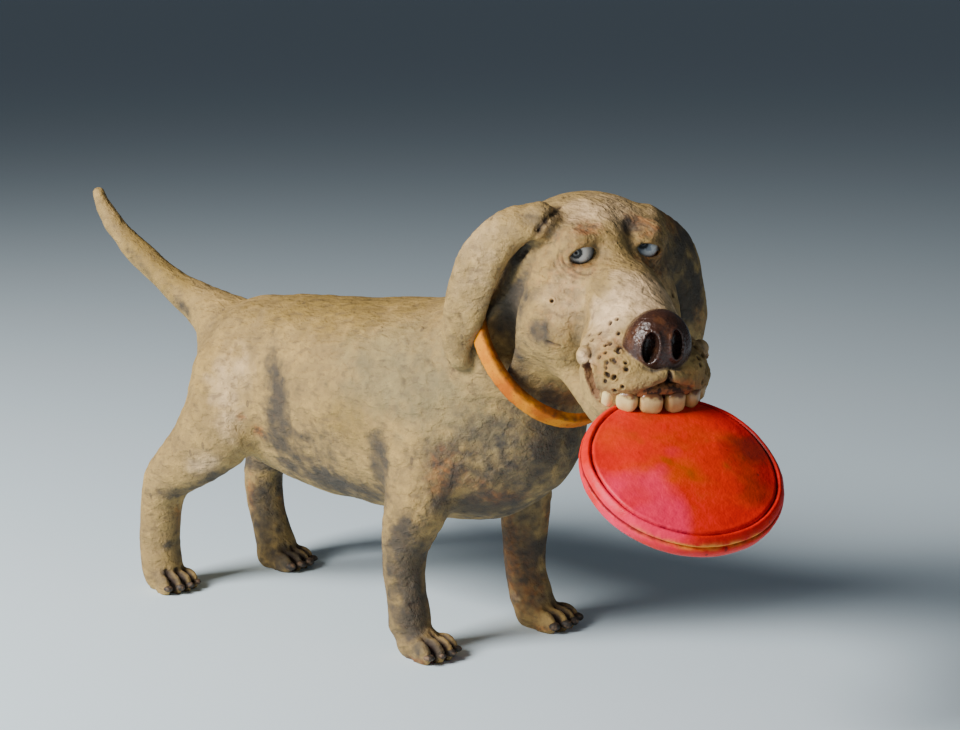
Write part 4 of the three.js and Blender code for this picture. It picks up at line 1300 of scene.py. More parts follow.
@dataclass(frozen=True)
class ClayFinish:
    """Bare fired clay, washed, smoked and rubbed back, with painted shade under the belly and chest, on the far
    ear and brow, and in the hollows and pressed marks.
    """

    putty: Triple = (0.385, 0.25, 0.078)
    putty_dark: Triple = (0.23, 0.155, 0.06)
    ochre: Triple = (0.24, 0.152, 0.029)
    cool: Triple = (0.25, 0.197, 0.087)
    pale: Triple = (0.68, 0.47, 0.26)
    rust: Triple = (0.32, 0.10, 0.015)
    rust_dark: Triple = (0.11, 0.045, 0.018)
    smoke_and_shade: Triple = (0.035, 0.031, 0.027)
    nick: Triple = (0.10, 0.065, 0.035)
    nose: Triple = (0.045, 0.018, 0.011)
    nose_rub: Triple = (0.12, 0.045, 0.017)
    black: Triple = (0.006, 0.004, 0.003)
    pit: Triple = (0.03, 0.014, 0.008)
    gum: Triple = (0.30, 0.11, 0.03)
    gum_dark: Triple = (0.045, 0.018, 0.008)
    slot: Triple = (0.10, 0.010, 0.006)

    def dress(self, made: bpy.types.Object, shared: SharedEffects) -> None:
        """Give the hound its clay."""
        material, graph, shader = surface("clay")
        grain = graph.effect(shared.grain, Scale=210.0)
        mottle, speck = grain.outputs["Mottle"], grain.outputs["Speck"]

        def wash(name: str, scale: float, rough: float) -> bpy.types.NodeSocket:
            """Read a wash's mask and break its edge up."""
            return graph.effect(shared.ragged, Mask=graph.mask(name), Scale=scale, Break=rough).outputs["Mask"]

        cloud = graph.ramp(graph.noise(34.0, 5.0), 0.36, 0.64)
        colour = graph.mix(graph.math("MULTIPLY", cloud, 0.45), self.putty, self.putty_dark)
        colour = graph.mix(wash("cool", 60.0, 0.5), colour, self.cool)
        colour = graph.mix(graph.math("MULTIPLY", wash("ochre", 70.0, 0.6), 0.85), colour, self.ochre)
        colour = graph.mix(wash("pale", 120.0, 0.5), colour, self.pale)
        rusty = graph.mix(graph.ramp(graph.noise(260.0), 0.42, 0.62), self.rust, self.rust_dark)
        colour = graph.mix(graph.math("MULTIPLY", wash("rust", 200.0, 0.9), 0.85), colour, rusty)
        # Smoked marks, and painted shade where the smoked wash lies under the belly and chest, in the folds and
        # gaps and on the far ear and brow.
        colour = graph.mix(graph.math("MULTIPLY", wash("smoke_and_shade", 170.0, 0.9), 0.93), colour, self.smoke_and_shade)
        shade = graph.math("MULTIPLY_ADD", mottle, 1.6, 1.0)
        tint = graph.add("ShaderNodeCombineColor")
        for socket in tint.inputs:
            graph.join(shade, socket)
        colour = graph.mix(1.0, colour, tint.outputs[0], "MULTIPLY")
        scratches = graph.ramp(graph.noise(330.0, 6.0, (0.35, 1.0, 0.8)), 0.54, 0.68)
        colour = graph.mix(graph.math("MULTIPLY", scratches, 0.42), colour, self.nick)
        crumbs = graph.ramp(graph.noise(165.0, 6.0, (0.55, 1.0, 0.8)), 0.44, 0.58)
        crumbs = graph.math("MAXIMUM", crumbs, graph.mask("nose"))
        colour = graph.mix(graph.math("MULTIPLY", graph.math("SUBTRACT", 1.0, crumbs), 0.16), colour, self.nick)
        nicks = graph.effect(shared.nicks, Scale=95.0, Share=0.28).outputs["Mask"]
        colour = graph.mix(graph.math("MULTIPLY", nicks, 0.6), colour, self.nick)
        colour = graph.mix(graph.math("MULTIPLY", speck, 0.3), colour, self.rust_dark)
        # Dark wash left in the hollows, with painted shade in the same recesses.
        hollow_wash_and_shade = graph.effect(shared.ragged, Mask=graph.mask("hollow"), Scale=260.0, Break=0.7).outputs["Mask"]
        colour = graph.mix(graph.math("MULTIPLY", hollow_wash_and_shade, 0.85), colour, self.smoke_and_shade)
        # Dark wash and painted shade in the pressed pits, cuts, wrinkles and toe grooves.
        colour = graph.mix(graph.math("MULTIPLY", graph.mask("pressed"), 0.95), colour, self.pit)
        rub = graph.ramp(graph.noise(150.0, 6.0), 0.5, 0.7)
        snout = graph.mix(graph.math("MULTIPLY", rub, 0.6), self.nose, self.nose_rub)
        colour = graph.mix(graph.mask("nose"), colour, snout)
        gums = graph.effect(shared.ragged, Mask=graph.mask("gum"), Scale=300.0, Break=1.0).outputs["Mask"]
        raw = graph.mix(graph.ramp(graph.noise(320.0, 3.0), 0.42, 0.6), self.gum_dark, self.gum)
        colour = graph.mix(gums, colour, raw)
        colour = graph.mix(graph.mask("slot"), colour, self.slot)
        colour = graph.mix(graph.mask("nostril"), colour, self.black)
        graph.join(colour, shader.inputs["Base Color"])
        matt = graph.math("MULTIPLY_ADD", mottle, 0.2, 0.78)
        gloss = graph.math("MULTIPLY_ADD", mottle, 0.5, 0.24)
        rough = graph.add("ShaderNodeMix", data_type="FLOAT")
        graph.join(graph.mask("nose"), rough.inputs[0])
        graph.join(matt, rough.inputs[2])
        graph.join(gloss, rough.inputs[3])
        graph.join(rough.outputs[0], shader.inputs["Roughness"])
        strokes = graph.noise(420.0, 5.0, (0.35, 1.0, 1.0))
        height = graph.math("ADD", grain.outputs["Height"], graph.math("MULTIPLY", strokes, 0.8))
        height = graph.math("MULTIPLY_ADD", crumbs, 0.7, height)
        height = graph.math("SUBTRACT", height, graph.math("MULTIPLY", nicks, 1.2))
        raise_relief(graph, shader, height, 0.7)
        made.data.materials.append(material)


@dataclass(frozen=True)
class NailFinish:
    """Dark knobs of clay, rubbed with iron."""

    dark: Triple = (0.03, 0.022, 0.016)
    rubbed: Triple = (0.17, 0.10, 0.055)

    def dress(self, made: bpy.types.Object, shared: SharedEffects) -> None:
        """Give the nails their clay."""
        material, graph, shader = surface("nail clay")
        grain = graph.effect(shared.grain, Scale=420.0)
        colour = graph.mix(graph.ramp(graph.noise(300.0), 0.45, 0.65), self.dark, self.rubbed)
        graph.join(colour, shader.inputs["Base Color"])
        shader.inputs["Roughness"].default_value = 0.62
        raise_relief(graph, shader, grain.outputs["Height"], 0.3)
        made.data.materials.clear()
        made.data.materials.append(material)


@dataclass(frozen=True)
class CollarFinish:
    """Orange slip over a yellow ground, browner along its edges."""

    orange: Triple = (0.52, 0.12, 0.0)
    yellow: Triple = (0.68, 0.235, 0.0)
    brown: Triple = (0.10, 0.032, 0.006)

    def dress(self, made: bpy.types.Object, shared: SharedEffects) -> None:
        """Give the collar its slip."""
        material, graph, shader = surface("collar slip")
        grain = graph.effect(shared.grain, Scale=260.0)
        colour = graph.mix(graph.ramp(graph.noise(70.0, 4.0), 0.4, 0.62), self.orange, self.yellow)
        worn = graph.effect(shared.ragged, Mask=graph.mask("edge"), Scale=220.0, Break=1.1).outputs["Mask"]
        colour = graph.mix(graph.math("MULTIPLY", worn, 0.85), colour, self.brown)
        nicks = graph.effect(shared.nicks, Scale=150.0, Share=0.2).outputs["Mask"]
        colour = graph.mix(graph.math("MULTIPLY", nicks, 0.7), colour, self.brown)
        colour = graph.mix(graph.math("MULTIPLY", grain.outputs["Speck"], 0.5), colour, self.brown)
        graph.join(colour, shader.inputs["Base Color"])
        shader.inputs["Roughness"].default_value = 0.72
        shader.inputs["Specular IOR Level"].default_value = 0.25
        raise_relief(graph, shader, grain.outputs["Height"], 0.4)
        made.data.materials.append(material)


@dataclass(frozen=True)
class DiscFinish:
    """Red glaze, orange where it pooled, with a painted rose highlight at the lower left and painted dark-red
    shade at the right, the upper back and underneath.
    """

    red: Triple = (0.74, 0.009, 0.005)
    orange: Triple = (0.70, 0.055, 0.0)
    olive: Triple = (0.28, 0.075, 0.004)
    pink_highlight: Triple = (0.96, 0.012, 0.10)
    maroon_shade: Triple = (0.18, 0.008, 0.010)
    yellow: Triple = (0.86, 0.30, 0.035)
    line: Triple = (0.10, 0.008, 0.006)

    def dress(self, made: bpy.types.Object, shared: SharedEffects) -> None:
        """Give the disc its glaze."""
        material, graph, shader = surface("disc glaze")
        grain = graph.effect(shared.grain, Scale=300.0)
        pool = graph.ramp(graph.noise(38.0, 5.0), 0.38, 0.62)
        warm = graph.math("MULTIPLY", graph.mask("warm"), graph.math("MULTIPLY_ADD", pool, 0.75, 0.25))
        colour = graph.mix(warm, self.red, self.orange)
        dirty = graph.math("MULTIPLY", graph.ramp(graph.noise(75.0, 6.0), 0.55, 0.72), graph.mask("warm"))
        colour = graph.mix(graph.math("MULTIPLY", dirty, 0.6), colour, self.olive)
        # Painted highlight: a light rose patch at the lower left, where the key light falls.
        highlight = graph.effect(shared.ragged, Mask=graph.mask("pink_highlight"), Scale=60.0, Break=1.1).outputs["Mask"]
        colour = graph.mix(graph.math("MULTIPLY", highlight, 0.8), colour, self.pink_highlight)
        # Painted shade: darker red at the right, at the upper back and underneath.
        deep = graph.effect(shared.ragged, Mask=graph.mask("maroon_shade"), Scale=45.0, Break=1.0).outputs["Mask"]
        colour = graph.mix(graph.math("MULTIPLY", deep, 0.85), colour, self.maroon_shade)
        seam = graph.effect(shared.ragged, Mask=graph.mask("yellow"), Scale=150.0, Break=1.2).outputs["Mask"]
        colour = graph.mix(seam, colour, self.yellow)
        lines = graph.effect(shared.ragged, Mask=graph.mask("line"), Scale=240.0, Break=1.0).outputs["Mask"]
        colour = graph.mix(graph.math("MULTIPLY", lines, 0.8), colour, self.line)
        nicks = graph.effect(shared.nicks, Scale=120.0, Share=0.3).outputs["Mask"]
        colour = graph.mix(graph.math("MULTIPLY", nicks, 0.6), colour, self.line)
        shade = graph.math("MULTIPLY_ADD", grain.outputs["Mottle"], 0.9, 1.0)
        tint = graph.add("ShaderNodeCombineColor")
        for socket in tint.inputs:
            graph.join(shade, socket)
        colour = graph.mix(1.0, colour, tint.outputs[0], "MULTIPLY")
        graph.join(colour, shader.inputs["Base Color"])
        graph.join(graph.math("MULTIPLY_ADD", grain.outputs["Mottle"], 0.5, 0.42), shader.inputs["Roughness"])
        shader.inputs["Coat Weight"].default_value = 0.06
        shader.inputs["Coat Roughness"].default_value = 0.35
        shader.inputs["Specular IOR Level"].default_value = 0.15
        raise_relief(graph, shader, graph.math("SUBTRACT", grain.outputs["Height"], nicks), 0.35)
        made.data.materials.append(material)


@dataclass(frozen=True)
class EyeFinish:
    """Glossy white, clouded blue-grey, with painted blue-grey shade on the side by the nose, painted brown
    shade under the lids, a grey ring and a black dot.
    """

    white: Triple = (0.90, 0.92, 0.93)
    shade: Triple = (0.30, 0.36, 0.45)
    ring: Triple = (0.055, 0.06, 0.065)
    dot: Triple = (0.004, 0.004, 0.004)
    lid_shade: Triple = (0.10, 0.055, 0.03)

    def dress(self, made: bpy.types.Object, shared: SharedEffects) -> None:
        """Give the eye its glaze."""
        material, graph, shader = surface("eye glaze")
        cloud = graph.ramp(graph.noise(210.0, 3.0), 0.5, 0.66)
        colour = graph.mix(graph.math("MULTIPLY", cloud, 0.8), self.white, self.shade)
        # Painted shade on the side of the eyeball by the nose.
        colour = graph.mix(graph.math("MULTIPLY", graph.mask("shade"), 0.9), colour, self.shade)
        # Painted shade where the lids cover the eyeball.
        colour = graph.mix(graph.mask("lid_shade"), colour, self.lid_shade)
        ring = graph.effect(shared.ragged, Mask=graph.mask("ring"), Scale=700.0, Break=0.8).outputs["Mask"]
        colour = graph.mix(ring, colour, self.ring)
        colour = graph.mix(graph.mask("dot"), colour, self.dot)
        graph.join(colour, shader.inputs["Base Color"])
        matt = graph.math("MAXIMUM", graph.mask("ring"), graph.mask("dot"))
        graph.join(graph.math("MULTIPLY_ADD", matt, 0.5, 0.28), shader.inputs["Roughness"])
        shader.inputs["Specular IOR Level"].default_value = 0.3
        made.data.materials.append(material)


@dataclass(frozen=True)
class ToothFinish:
    """Cream glaze, browned at the gum and towards the far side."""

    cream: Triple = (0.78, 0.60, 0.24)
    amber: Triple = (0.50, 0.30, 0.10)
    gum: Triple = (0.16, 0.06, 0.02)

    def dress(self, made: bpy.types.Object, shared: SharedEffects) -> None:
        """Give a tooth its glaze."""
        material, graph, shader = surface("tooth glaze")
        grain = graph.effect(shared.grain, Scale=330.0)
        age = graph.effect(shared.ragged, Mask=graph.mask("age"), Scale=160.0, Break=0.8).outputs["Mask"]
        colour = graph.mix(age, self.cream, self.amber)
        root = graph.effect(shared.ragged, Mask=graph.mask("root"), Scale=330.0, Break=1.4).outputs["Mask"]
        colour = graph.mix(root, colour, self.gum)
        graph.join(colour, shader.inputs["Base Color"])
        graph.join(graph.math("MULTIPLY_ADD", grain.outputs["Mottle"], 0.4, 0.33), shader.inputs["Roughness"])
        shader.inputs["Coat Weight"].default_value = 0.35
        raise_relief(graph, shader, grain.outputs["Height"], 0.18)
        made.data.materials.append(material)


# Pieces set into the clay


def facing(axis: Triple) -> np.ndarray:
    """Give axes whose third column points along an axis."""
    return np.array(Vector(axis).to_track_quat("Z", "Y").to_matrix())


@dataclass(frozen=True)
class Eye:
    """An eyeball with its iris ring and dot cut round the gaze."""

    seat: EyeSeat
    ring: tuple[float, float] = (0.13, 0.42)
    dot: float = 0.17
    rows: int = 48
    sides: int = 72

    def build(self, name: str, packed: PackedFrame) -> bpy.types.Object:
        """Make the eye about its gaze.

        Args:
            name: The CAD node that it stands for.
            packed: Where the clay frame lies.

        Returns:
            The eye.
        """
        turns = np.linspace(math.pi, 0.0, self.rows)
        inside, outside = self.ring
        dish = 0.12 * np.exp(-(((turns - outside) / 0.07) ** 2)) + 0.3 * np.exp(-((turns / inside) ** 2))
        radii = self.seat.radius - dish
        points, faces = lathe(np.column_stack([radii * np.sin(turns), radii * np.cos(turns)]), self.sides)
        away = np.arctan2(np.hypot(points[:, 0], points[:, 1]), points[:, 2])
        local = points @ facing(self.seat.gaze).T
        places = local + np.array(self.seat.at)
        made = mesh_object(name, packed.place(HEAD.outward(places)), faces)
        paint(made, "dot", (self.dot - away) / 0.05)
        paint(made, "ring", (away > self.dot) * (outside - away) / 0.06)
        # Painted shade on the side by the nose.
        paint(made, "shade", (local[:, 1] * math.copysign(1.0, self.seat.at[1]) * -1 - 1.5) / 3.5)
        # Painted shade under the lids and along the opening's edge.
        paint(made, "lid_shade", (self.seat.almond.distance(places) + 0.7) / 1.0)
        return made


@dataclass(frozen=True)
class Tooth:
    """A squared pebble of glazed clay, turned out along the jaw's arch."""

    bearing: float
    width: float
    height: float
    age: float
    thick: float = 8.0
    squareness: float = 0.72
    middle: float = 72.0
    reach: float = 18.0
    half_arch: float = 27.0
    level: float = -57.0

    def build(self, name: str, packed: PackedFrame, seed: int) -> bpy.types.Object:
        """Make the tooth, a little uneven.

        Args:
            name: The CAD node that it stands for.
            packed: Where the clay frame lies.
            seed: Which unevenness it gets.

        Returns:
            The tooth.
        """
        turns = np.linspace(math.pi, 0.0, 30)
        ball, faces = lathe(np.column_stack([np.sin(turns), np.cos(turns)]), 44)
        squared = np.sign(ball) * np.abs(ball) ** self.squareness
        local = squared * np.array([self.thick, self.width, self.height]) / 2
        local *= 1 + 0.035 * lattice_noise(local, 3.5, seed)[:, None]
        turn = math.radians(-self.bearing)
        seat = (self.middle + self.reach * math.cos(turn), self.half_arch * math.sin(turn), self.level)
        places = local @ turned((0.0, 0.0, -self.bearing)).T + np.array(seat)
        made = mesh_object(name, packed.place(HEAD.outward(places)), faces)
        paint(made, "root", (local[:, 2] - 0.16 * self.height) / 2.6)
        # Browner towards the far side of the mouth, in uneven patches.
        paint(made, "age", self.age + 0.35 * lattice_noise(local, 4.0, seed + 5))
        return made


TEETH = (
    Tooth(78, 9.5, 12, 0.1), Tooth(45, 12, 12, 0.15), Tooth(15, 13, 13, 0.55),
    Tooth(-15, 12, 13, 0.75), Tooth(-44, 10.5, 12, 0.95), Tooth(-78, 9, 12, 1.0),
)


@dataclass(frozen=True)
class Disc:
    """A thick double-domed disc with a cushioned rim and two pressed grooves."""

    at: Triple = (122.0, 0.0, -84.5)
    dip: float = 21.0
    radius: float = 55.5
    face: float = 50.0
    rim_half: float = 7.3
    top_rise: float = 5.8
    under_rise: float = 10.0
    groove: float = 1.6
    sides: int = 288

    def profile(self) -> np.ndarray:
        """Give the outline from the middle of the underside to the middle of the top."""
        going_out, coming_in = np.linspace(0, 0.97, 18), np.linspace(0.955, 0, 22)
        under = [(self.face * s, -self.rim_half - self.under_rise * (1 - s * s)) for s in going_out]
        top = [(self.face * s, self.rim_half + self.top_rise * (1 - s * s)) for s in coming_in]
        h, r = self.rim_half, self.radius
        rim = smooth_path(np.array([
            (self.face + 1.0, -h * 0.98), (r - 1.6, -h * 0.8), (r - 0.3, -h * 0.4), (r, -h * 0.02),
            (r - 0.7, h * 0.13), (r - self.groove - 0.5, h * 0.22), (r - 0.9, h * 0.34), (r - 0.8, h * 0.52),
            (r - 2.2, h * 0.82), (self.face + 1.8, h * 1.0), (self.face + 0.6, h * 0.92),
            (self.face, h * 0.76), (self.face - 0.6, h * 0.95), (self.face - 1.4, h * 1.07),
        ]), 3)
        return np.array([*under, *rim, *top])

    def build(self, packed: PackedFrame) -> bpy.types.Object:
        """Turn the disc, warp it as clay and mark where each glaze, the painted highlight and the painted shade
        lie.

        Args:
            packed: Where the clay frame lies.

        Returns:
            The disc.
        """
        points, faces = lathe(self.profile(), self.sides)
        reach = np.hypot(points[:, 0], points[:, 1])
        outward = np.column_stack([points[:, 0], points[:, 1], points[:, 2] * 3.0])
        outward /= np.maximum(np.linalg.norm(outward, axis=1, keepdims=True), 1e-6)
        warp = 0.45 * lattice_noise(points, 21.0, 31) + 0.22 * lattice_noise(points, 8.0, 37)
        smear = 0.07 * lattice_noise(points * (1.0, 0.45, 1.0), 2.6, 41)
        edge = np.clip(reach / self.face, 0, 1)
        local = points + outward * (warp * (0.45 + 0.55 * edge) + smear)[:, None]
        places = local @ turned((0.0, self.dip, 0.0)).T + np.array(self.at)
        clay = HEAD.outward(places)
        made = mesh_object("disc_clay", packed.place(clay), faces)
        rough = 0.35 * lattice_noise(points, 16.0, 43)
        right, up, _ = VIEW.axes.T
        seen = clay - HEAD.outward(np.array([self.at]))
        across, high = seen @ right / self.radius, seen @ up / self.radius
        upper_side = points[:, 2] > 0
        paint(made, "warm", (0.95 - np.hypot(across - 0.05, (high - 0.12) * 1.35) + rough) * 2.0 * upper_side)
        # Painted rose highlight at the lower left.
        paint(made, "pink_highlight", (0.62 - np.hypot((across + 0.42) * 0.9, (high + 0.32) * 1.25) + rough) * 2.2)
        # Painted dark-red shade at the right and the upper back, and all over the underside.
        maroon_shade = (0.5 - np.hypot((across - 0.72) * 1.1, (high - 0.3) * 0.75) + 0.6 * rough) * 2.2
        back = (0.2 - np.hypot(across + 0.3, high - 0.62) + 0.5 * rough) * 2.5
        paint(made, "maroon_shade", np.maximum(maroon_shade, back) + (points[:, 2] < -self.rim_half) * 0.5)
        upper = np.exp(-(((reach - self.face) / 0.8) ** 2)) * (points[:, 2] > self.rim_half * 0.5)
        lower = np.exp(-(((points[:, 2] - self.rim_half * 0.22) / 0.75) ** 2)) * (reach > self.face + 2)
        front = np.clip(1.2 - 1.6 * np.abs(across - 0.12), 0, 1) * (high < 0)
        paint(made, "line", 0.75 * upper * (0.6 + 2 * rough) + lower * (1 - front) + 0.25 * lower)
        near_seam = np.exp(-(((points[:, 2] - self.rim_half * 0.33) / 1.5) ** 2)) * (reach > self.face + 2)
        paint(made, "yellow", near_seam * front * 1.2)
        return made


@dataclass(frozen=True)
class Collar:
    """A strap of clay pressed round the neck, combed across its width."""

    at: Triple = (148.0, -5.0, 204.0)
    lean: float = 31.0
    turn: float = 17.0
    half_width: float = 50.5
    half_height: float = 56.5
    strap: float = 12.0
    thick: float = 5.0
    sides: int = 360

    def band(self) -> tuple[np.ndarray, list[tuple[int, ...]]]:
        """Make the strap about +Z, closed on itself."""
        mean = (self.half_width + self.half_height) / 2
        inner, outer, edge = mean - self.thick / 2, mean + self.thick / 2, self.strap / 2
        section = [(inner, -edge), (mean, -edge), (outer - 1.0, -edge * 0.97), (outer - 0.2, -edge * 0.84)]
        section += [(outer + 0.1 * math.cos(t * 1.4), edge * t) for t in np.linspace(-0.7, 0.7, 9)]
        section += [(outer - 0.2, edge * 0.84), (outer - 1.0, edge * 0.97), (mean, edge), (inner, edge)]
        section += [(inner, edge * t) for t in np.linspace(0.6, -0.6, 4)]
        rows = len(section)
        angles = np.arange(self.sides) / self.sides * 2 * math.pi
        points = np.array([(r * math.cos(a), r * math.sin(a), z) for a in angles for r, z in section])
        faces = [
            (i * rows + k, (i + 1) % self.sides * rows + k, (i + 1) % self.sides * rows + (k + 1) % rows,
             i * rows + (k + 1) % rows)
            for i in range(self.sides) for k in range(rows)
        ]
        return points, faces

    def build(self, packed: PackedFrame) -> bpy.types.Object:
        """Make the strap, press it to an oval and comb it.

        Args:
            packed: Where the clay frame lies.

        Returns:
            The collar.
        """
        mean = (self.half_width + self.half_height) / 2
        points, faces = self.band()
        reach = np.hypot(points[:, 0], points[:, 1])
        outward = np.column_stack([points[:, :2] / reach[:, None], np.zeros(len(points))])
        waver = 0.35 * lattice_noise(points, 14.0, 51) + 0.12 * lattice_noise(points, 5.0, 53)
        comb = 0.2 * lattice_noise(points * (1.0, 1.0, 0.12), 0.9, 57)
        local = points + outward * (waver + comb)[:, None] * (reach > mean)[:, None]
        local[:, 2] += 0.3 * lattice_noise(points, 18.0, 59)
        local *= (self.half_height / mean, self.half_width / mean, 1.0)
        clay = local @ turned((0.0, 90.0 - self.lean, -self.turn)).T + np.array(self.at)
        made = mesh_object("collar_strap", packed.place(clay), faces)
        paint(made, "edge", (np.abs(points[:, 2]) / (self.strap / 2) - 0.68) * 2.4)
        return made


# Small clay that repeats


class Knobs:
    """Geometry Nodes trees that set many small lumps of clay."""

    @staticmethod
    def tree(
        name: str, numbers: dict[str, tuple[str, float | int | None]]
    ) -> tuple[bpy.types.NodeTree, Callable, Callable]:
        """Start a tree that takes and gives geometry, with named inputs.

        Args:
            name: The tree's name.
            numbers: Each input's socket type and usual value.

        Returns:
            The tree, a function that adds a node, and one that links two sockets.
        """
        tree = bpy.data.node_groups.new(name, "GeometryNodeTree")
        tree.interface.new_socket("Geometry", in_out="INPUT", socket_type="NodeSocketGeometry")
        tree.interface.new_socket("Geometry", in_out="OUTPUT", socket_type="NodeSocketGeometry")
        for label, (kind, value) in numbers.items():
            socket = tree.interface.new_socket(label, in_out="INPUT", socket_type=kind)
            if value is not None:
                socket.default_value = value
        return tree, tree.nodes.new, tree.links.new

    @staticmethod
    def setting(tree: bpy.types.NodeTree, modifier: bpy.types.Modifier, name: str, value: object) -> None:
        """Set one of a modifier's inputs by its socket's identifier."""
        item = next(i for i in tree.interface.items_tree if i.name == name and i.in_out == "INPUT")
        modifier[item.identifier] = value


@dataclass(frozen=True)
class Nails:
    """The knobbly nails at the ends of the toes."""

    flatness: float = 0.85

    def build(self, packed: PackedFrame) -> bpy.types.Object:
        """Set a knob on each toe with Geometry Nodes.

        Args:
            packed: Where the clay frame lies.

        Returns:
            The nails, one mesh.
        """
        spots = [spot for leg in LEGS.values() for spot in leg.paw.nails()]
        made = mesh_object("nails", packed.place(np.array([place for place, _, _ in spots])), [])
        turns, sizes = [math.radians(t) for _, t, _ in spots], [s for _, _, s in spots]
        for name, values in (("turn", turns), ("size", sizes)):
            attribute = made.data.attributes.new(name, "FLOAT", "POINT")
            attribute.data.foreach_set("value", values)
        tree, add, link = Knobs.tree("set nails", {
            "Seed": ("NodeSocketInt", 4),
            "Flatness": ("NodeSocketFloat", 1.0),
            "Finish": ("NodeSocketMaterial", None),
        })
        source, sink = add("NodeGroupInput"), add("NodeGroupOutput")
        ball = add("GeometryNodeMeshIcoSphere")
        ball.inputs["Radius"].default_value = MM
        ball.inputs["Subdivisions"].default_value = 3
        turn, size = (add("GeometryNodeInputNamedAttribute") for _ in range(2))
        turn.inputs["Name"].default_value, size.inputs["Name"].default_value = "turn", "size"
        spin = add("ShaderNodeCombineXYZ")
        link(turn.outputs["Attribute"], spin.inputs["Z"])
        chance = add("FunctionNodeRandomValue")
        chance.data_type = "FLOAT_VECTOR"
        chance.inputs["Min"].default_value = (1.2, 0.85, 0.8)
        chance.inputs["Max"].default_value = (1.6, 1.15, 1.15)
        link(source.outputs["Seed"], chance.inputs["Seed"])
        grow = add("ShaderNodeVectorMath")
        grow.operation = "SCALE"
        link(chance.outputs["Value"], grow.inputs[0])
        link(size.outputs["Attribute"], grow.inputs["Scale"])
        squash = add("ShaderNodeVectorMath")
        squash.operation = "MULTIPLY"
        flat = add("ShaderNodeCombineXYZ")
        flat.inputs["X"].default_value = flat.inputs["Y"].default_value = 1.0
        link(source.outputs["Flatness"], flat.inputs["Z"])
        link(grow.outputs[0], squash.inputs[0])
        link(flat.outputs[0], squash.inputs[1])
        place = add("GeometryNodeInstanceOnPoints")
        link(source.outputs["Geometry"], place.inputs["Points"])
        link(ball.outputs["Mesh"], place.inputs["Instance"])
        link(spin.outputs[0], place.inputs["Rotation"])
        link(squash.outputs[0], place.inputs["Scale"])
        real = add("GeometryNodeRealizeInstances")
        link(place.outputs[0], real.inputs[0])
        finish = add("GeometryNodeSetMaterial")
        link(real.outputs[0], finish.inputs["Geometry"])
        link(source.outputs["Finish"], finish.inputs["Material"])
        link(finish.outputs[0], sink.inputs[0])
        modifier = made.modifiers.new("nails", "NODES")
        modifier.node_group = tree
        Knobs.setting(tree, modifier, "Flatness", self.flatness)
        return baked(made)


# The pale floor, the soft light and the camera


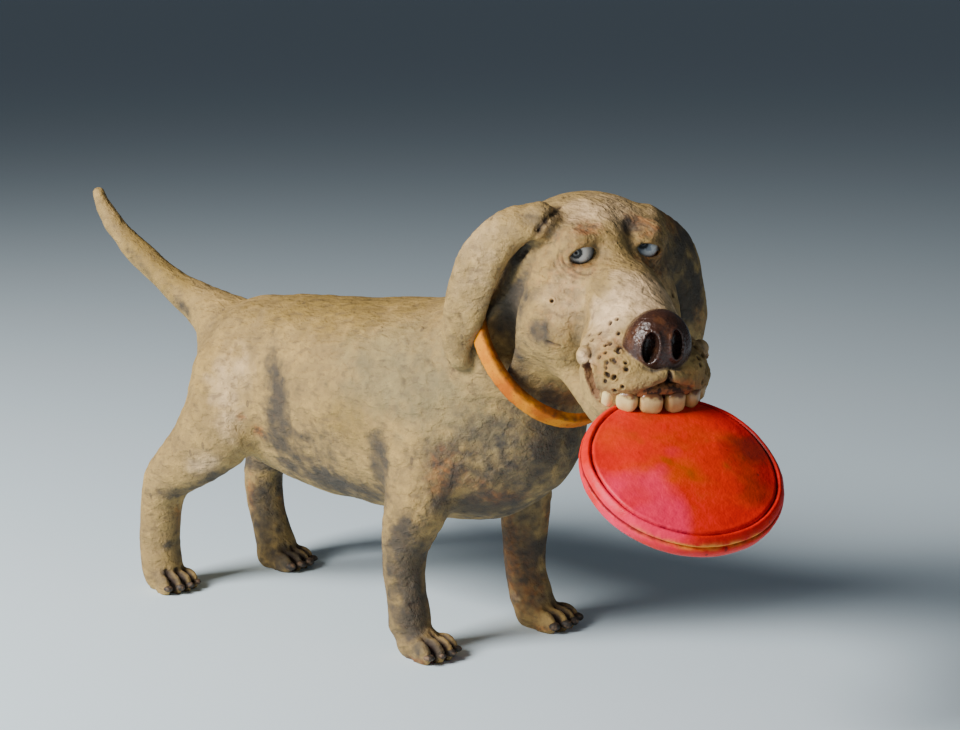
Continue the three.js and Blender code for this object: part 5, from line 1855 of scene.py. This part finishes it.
@dataclass(frozen=True)
class Studio:
    """A plain pale floor under a soft key light from the upper left."""

    floor: Triple = (0.72, 0.87, 0.97)
    air: Triple = (0.60, 0.66, 0.74)
    air_strength: float = 0.10
    key_power: float = 80.0
    fill_power: float = 2.0

    def light(self, name: str, at: Triple, aim: Triple, size: float, power: float, tint: Triple) -> None:
        """Hang a square soft light.

        Args:
            name: The light's name.
            at: Its place in metres.
            aim: What it points at.
            size: Its side in metres.
            power: Its watts.
            tint: Its colour.
        """
        data = bpy.data.lights.new(name, "AREA")
        data.size = size
        data.energy = power
        data.color = tint
        lamp = bpy.data.objects.new(name, data)
        lamp.location = at
        lamp.rotation_euler = (Vector(aim) - Vector(at)).to_track_quat("-Z", "Y").to_euler()
        bpy.context.scene.collection.objects.link(lamp)

    def build(self, packed: PackedFrame) -> None:
        """Lay the floor, hang the lights and set the camera where the photograph was taken."""
        side = 400.0
        corners = np.array([(-side, -side, 0), (side, -side, 0), (side, side, 0), (-side, side, 0)])
        ground = mesh_object("floor", corners, [(0, 1, 2, 3)])
        material, _, shader = surface("floor")
        shader.inputs["Base Color"].default_value = (*self.floor, 1.0)
        shader.inputs["Roughness"].default_value = 0.85
        ground.data.materials.append(material)
        world = bpy.data.worlds.new("air")
        world.use_nodes = True
        backdrop = next(n for n in world.node_tree.nodes if n.type == "BACKGROUND")
        backdrop.inputs["Color"].default_value = (*self.air, 1.0)
        backdrop.inputs["Strength"].default_value = self.air_strength
        bpy.context.scene.world = world
        middle = packed.place(np.array([VIEW.target]))[0]
        right, up, back = VIEW.axes.T

        def out(x: float, y: float, z: float) -> Triple:
            """Go from the middle: right across the picture, up, and towards the camera."""
            level = np.array([back[0], back[1], 0.0]) / math.hypot(back[0], back[1])
            return tuple(middle + right * x + np.array([0.0, 0.0, 1.0]) * y + level * z)

        self.light("key", out(-1.45, 1.0, 0.95), tuple(middle), 0.8, self.key_power, (1.0, 0.965, 0.92))
        self.light("fill", out(1.3, 0.5, 1.2), tuple(middle), 1.4, self.fill_power, (0.82, 0.9, 1.0))
        data = bpy.data.cameras.new("camera")
        data.lens = VIEW.lens
        data.sensor_width = VIEW.sensor
        camera = bpy.data.objects.new("camera", data)
        pose = Matrix(VIEW.axes.tolist()).to_4x4()
        pose.translation = Vector(packed.place(np.array([VIEW.eye]))[0])
        camera.matrix_world = pose
        bpy.context.scene.collection.objects.link(camera)
        bpy.context.scene.camera = camera


def enter(piece: bpy.types.Object, slot: str, *nodes: str) -> None:
    """Put a piece into the shared frame.

    Args:
        piece: The piece.
        slot: The record's material slot that its finish belongs to. It is not used.
        nodes: The CAD nodes that it stands for.
    """
    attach(piece, "root")
    if nodes:
        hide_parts(*nodes)
    log.info("%s: %d faces", piece.name, len(piece.data.polygons))


def main() -> None:
    """Build the hound piece by piece in the shared frame."""
    logging.basicConfig(level=logging.INFO, format="%(name)s: %(message)s")
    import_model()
    packed = PackedFrame.found(EYES["right"].at)
    shared = SharedEffects()
    hound = Hound(packed).build()
    ClayFinish().dress(hound, shared)
    enter(hound, "clay", "dog")
    nails = Nails().build(packed)
    NailFinish().dress(nails, shared)
    enter(nails, "clay")
    for side, seat in EYES.items():
        eye = Eye(seat).build(f"eyeball_{side}", packed)
        EyeFinish().dress(eye, shared)
        enter(eye, "eye_glaze", f"eye_{side}")
    for i, tooth in enumerate(TEETH, 1):
        made = tooth.build(f"pebble_tooth_{i}", packed, 60 + i)
        ToothFinish().dress(made, shared)
        enter(made, "tooth_glaze", f"tooth_{i}")
    disc = Disc().build(packed)
    DiscFinish().dress(disc, shared)
    enter(disc, "disc_glaze", "disc")
    collar = Collar().build(packed)
    CollarFinish().dress(collar, shared)
    enter(collar, "collar_slip", "collar")
    Studio().build(packed)


if __name__ == "__main__":
    main()
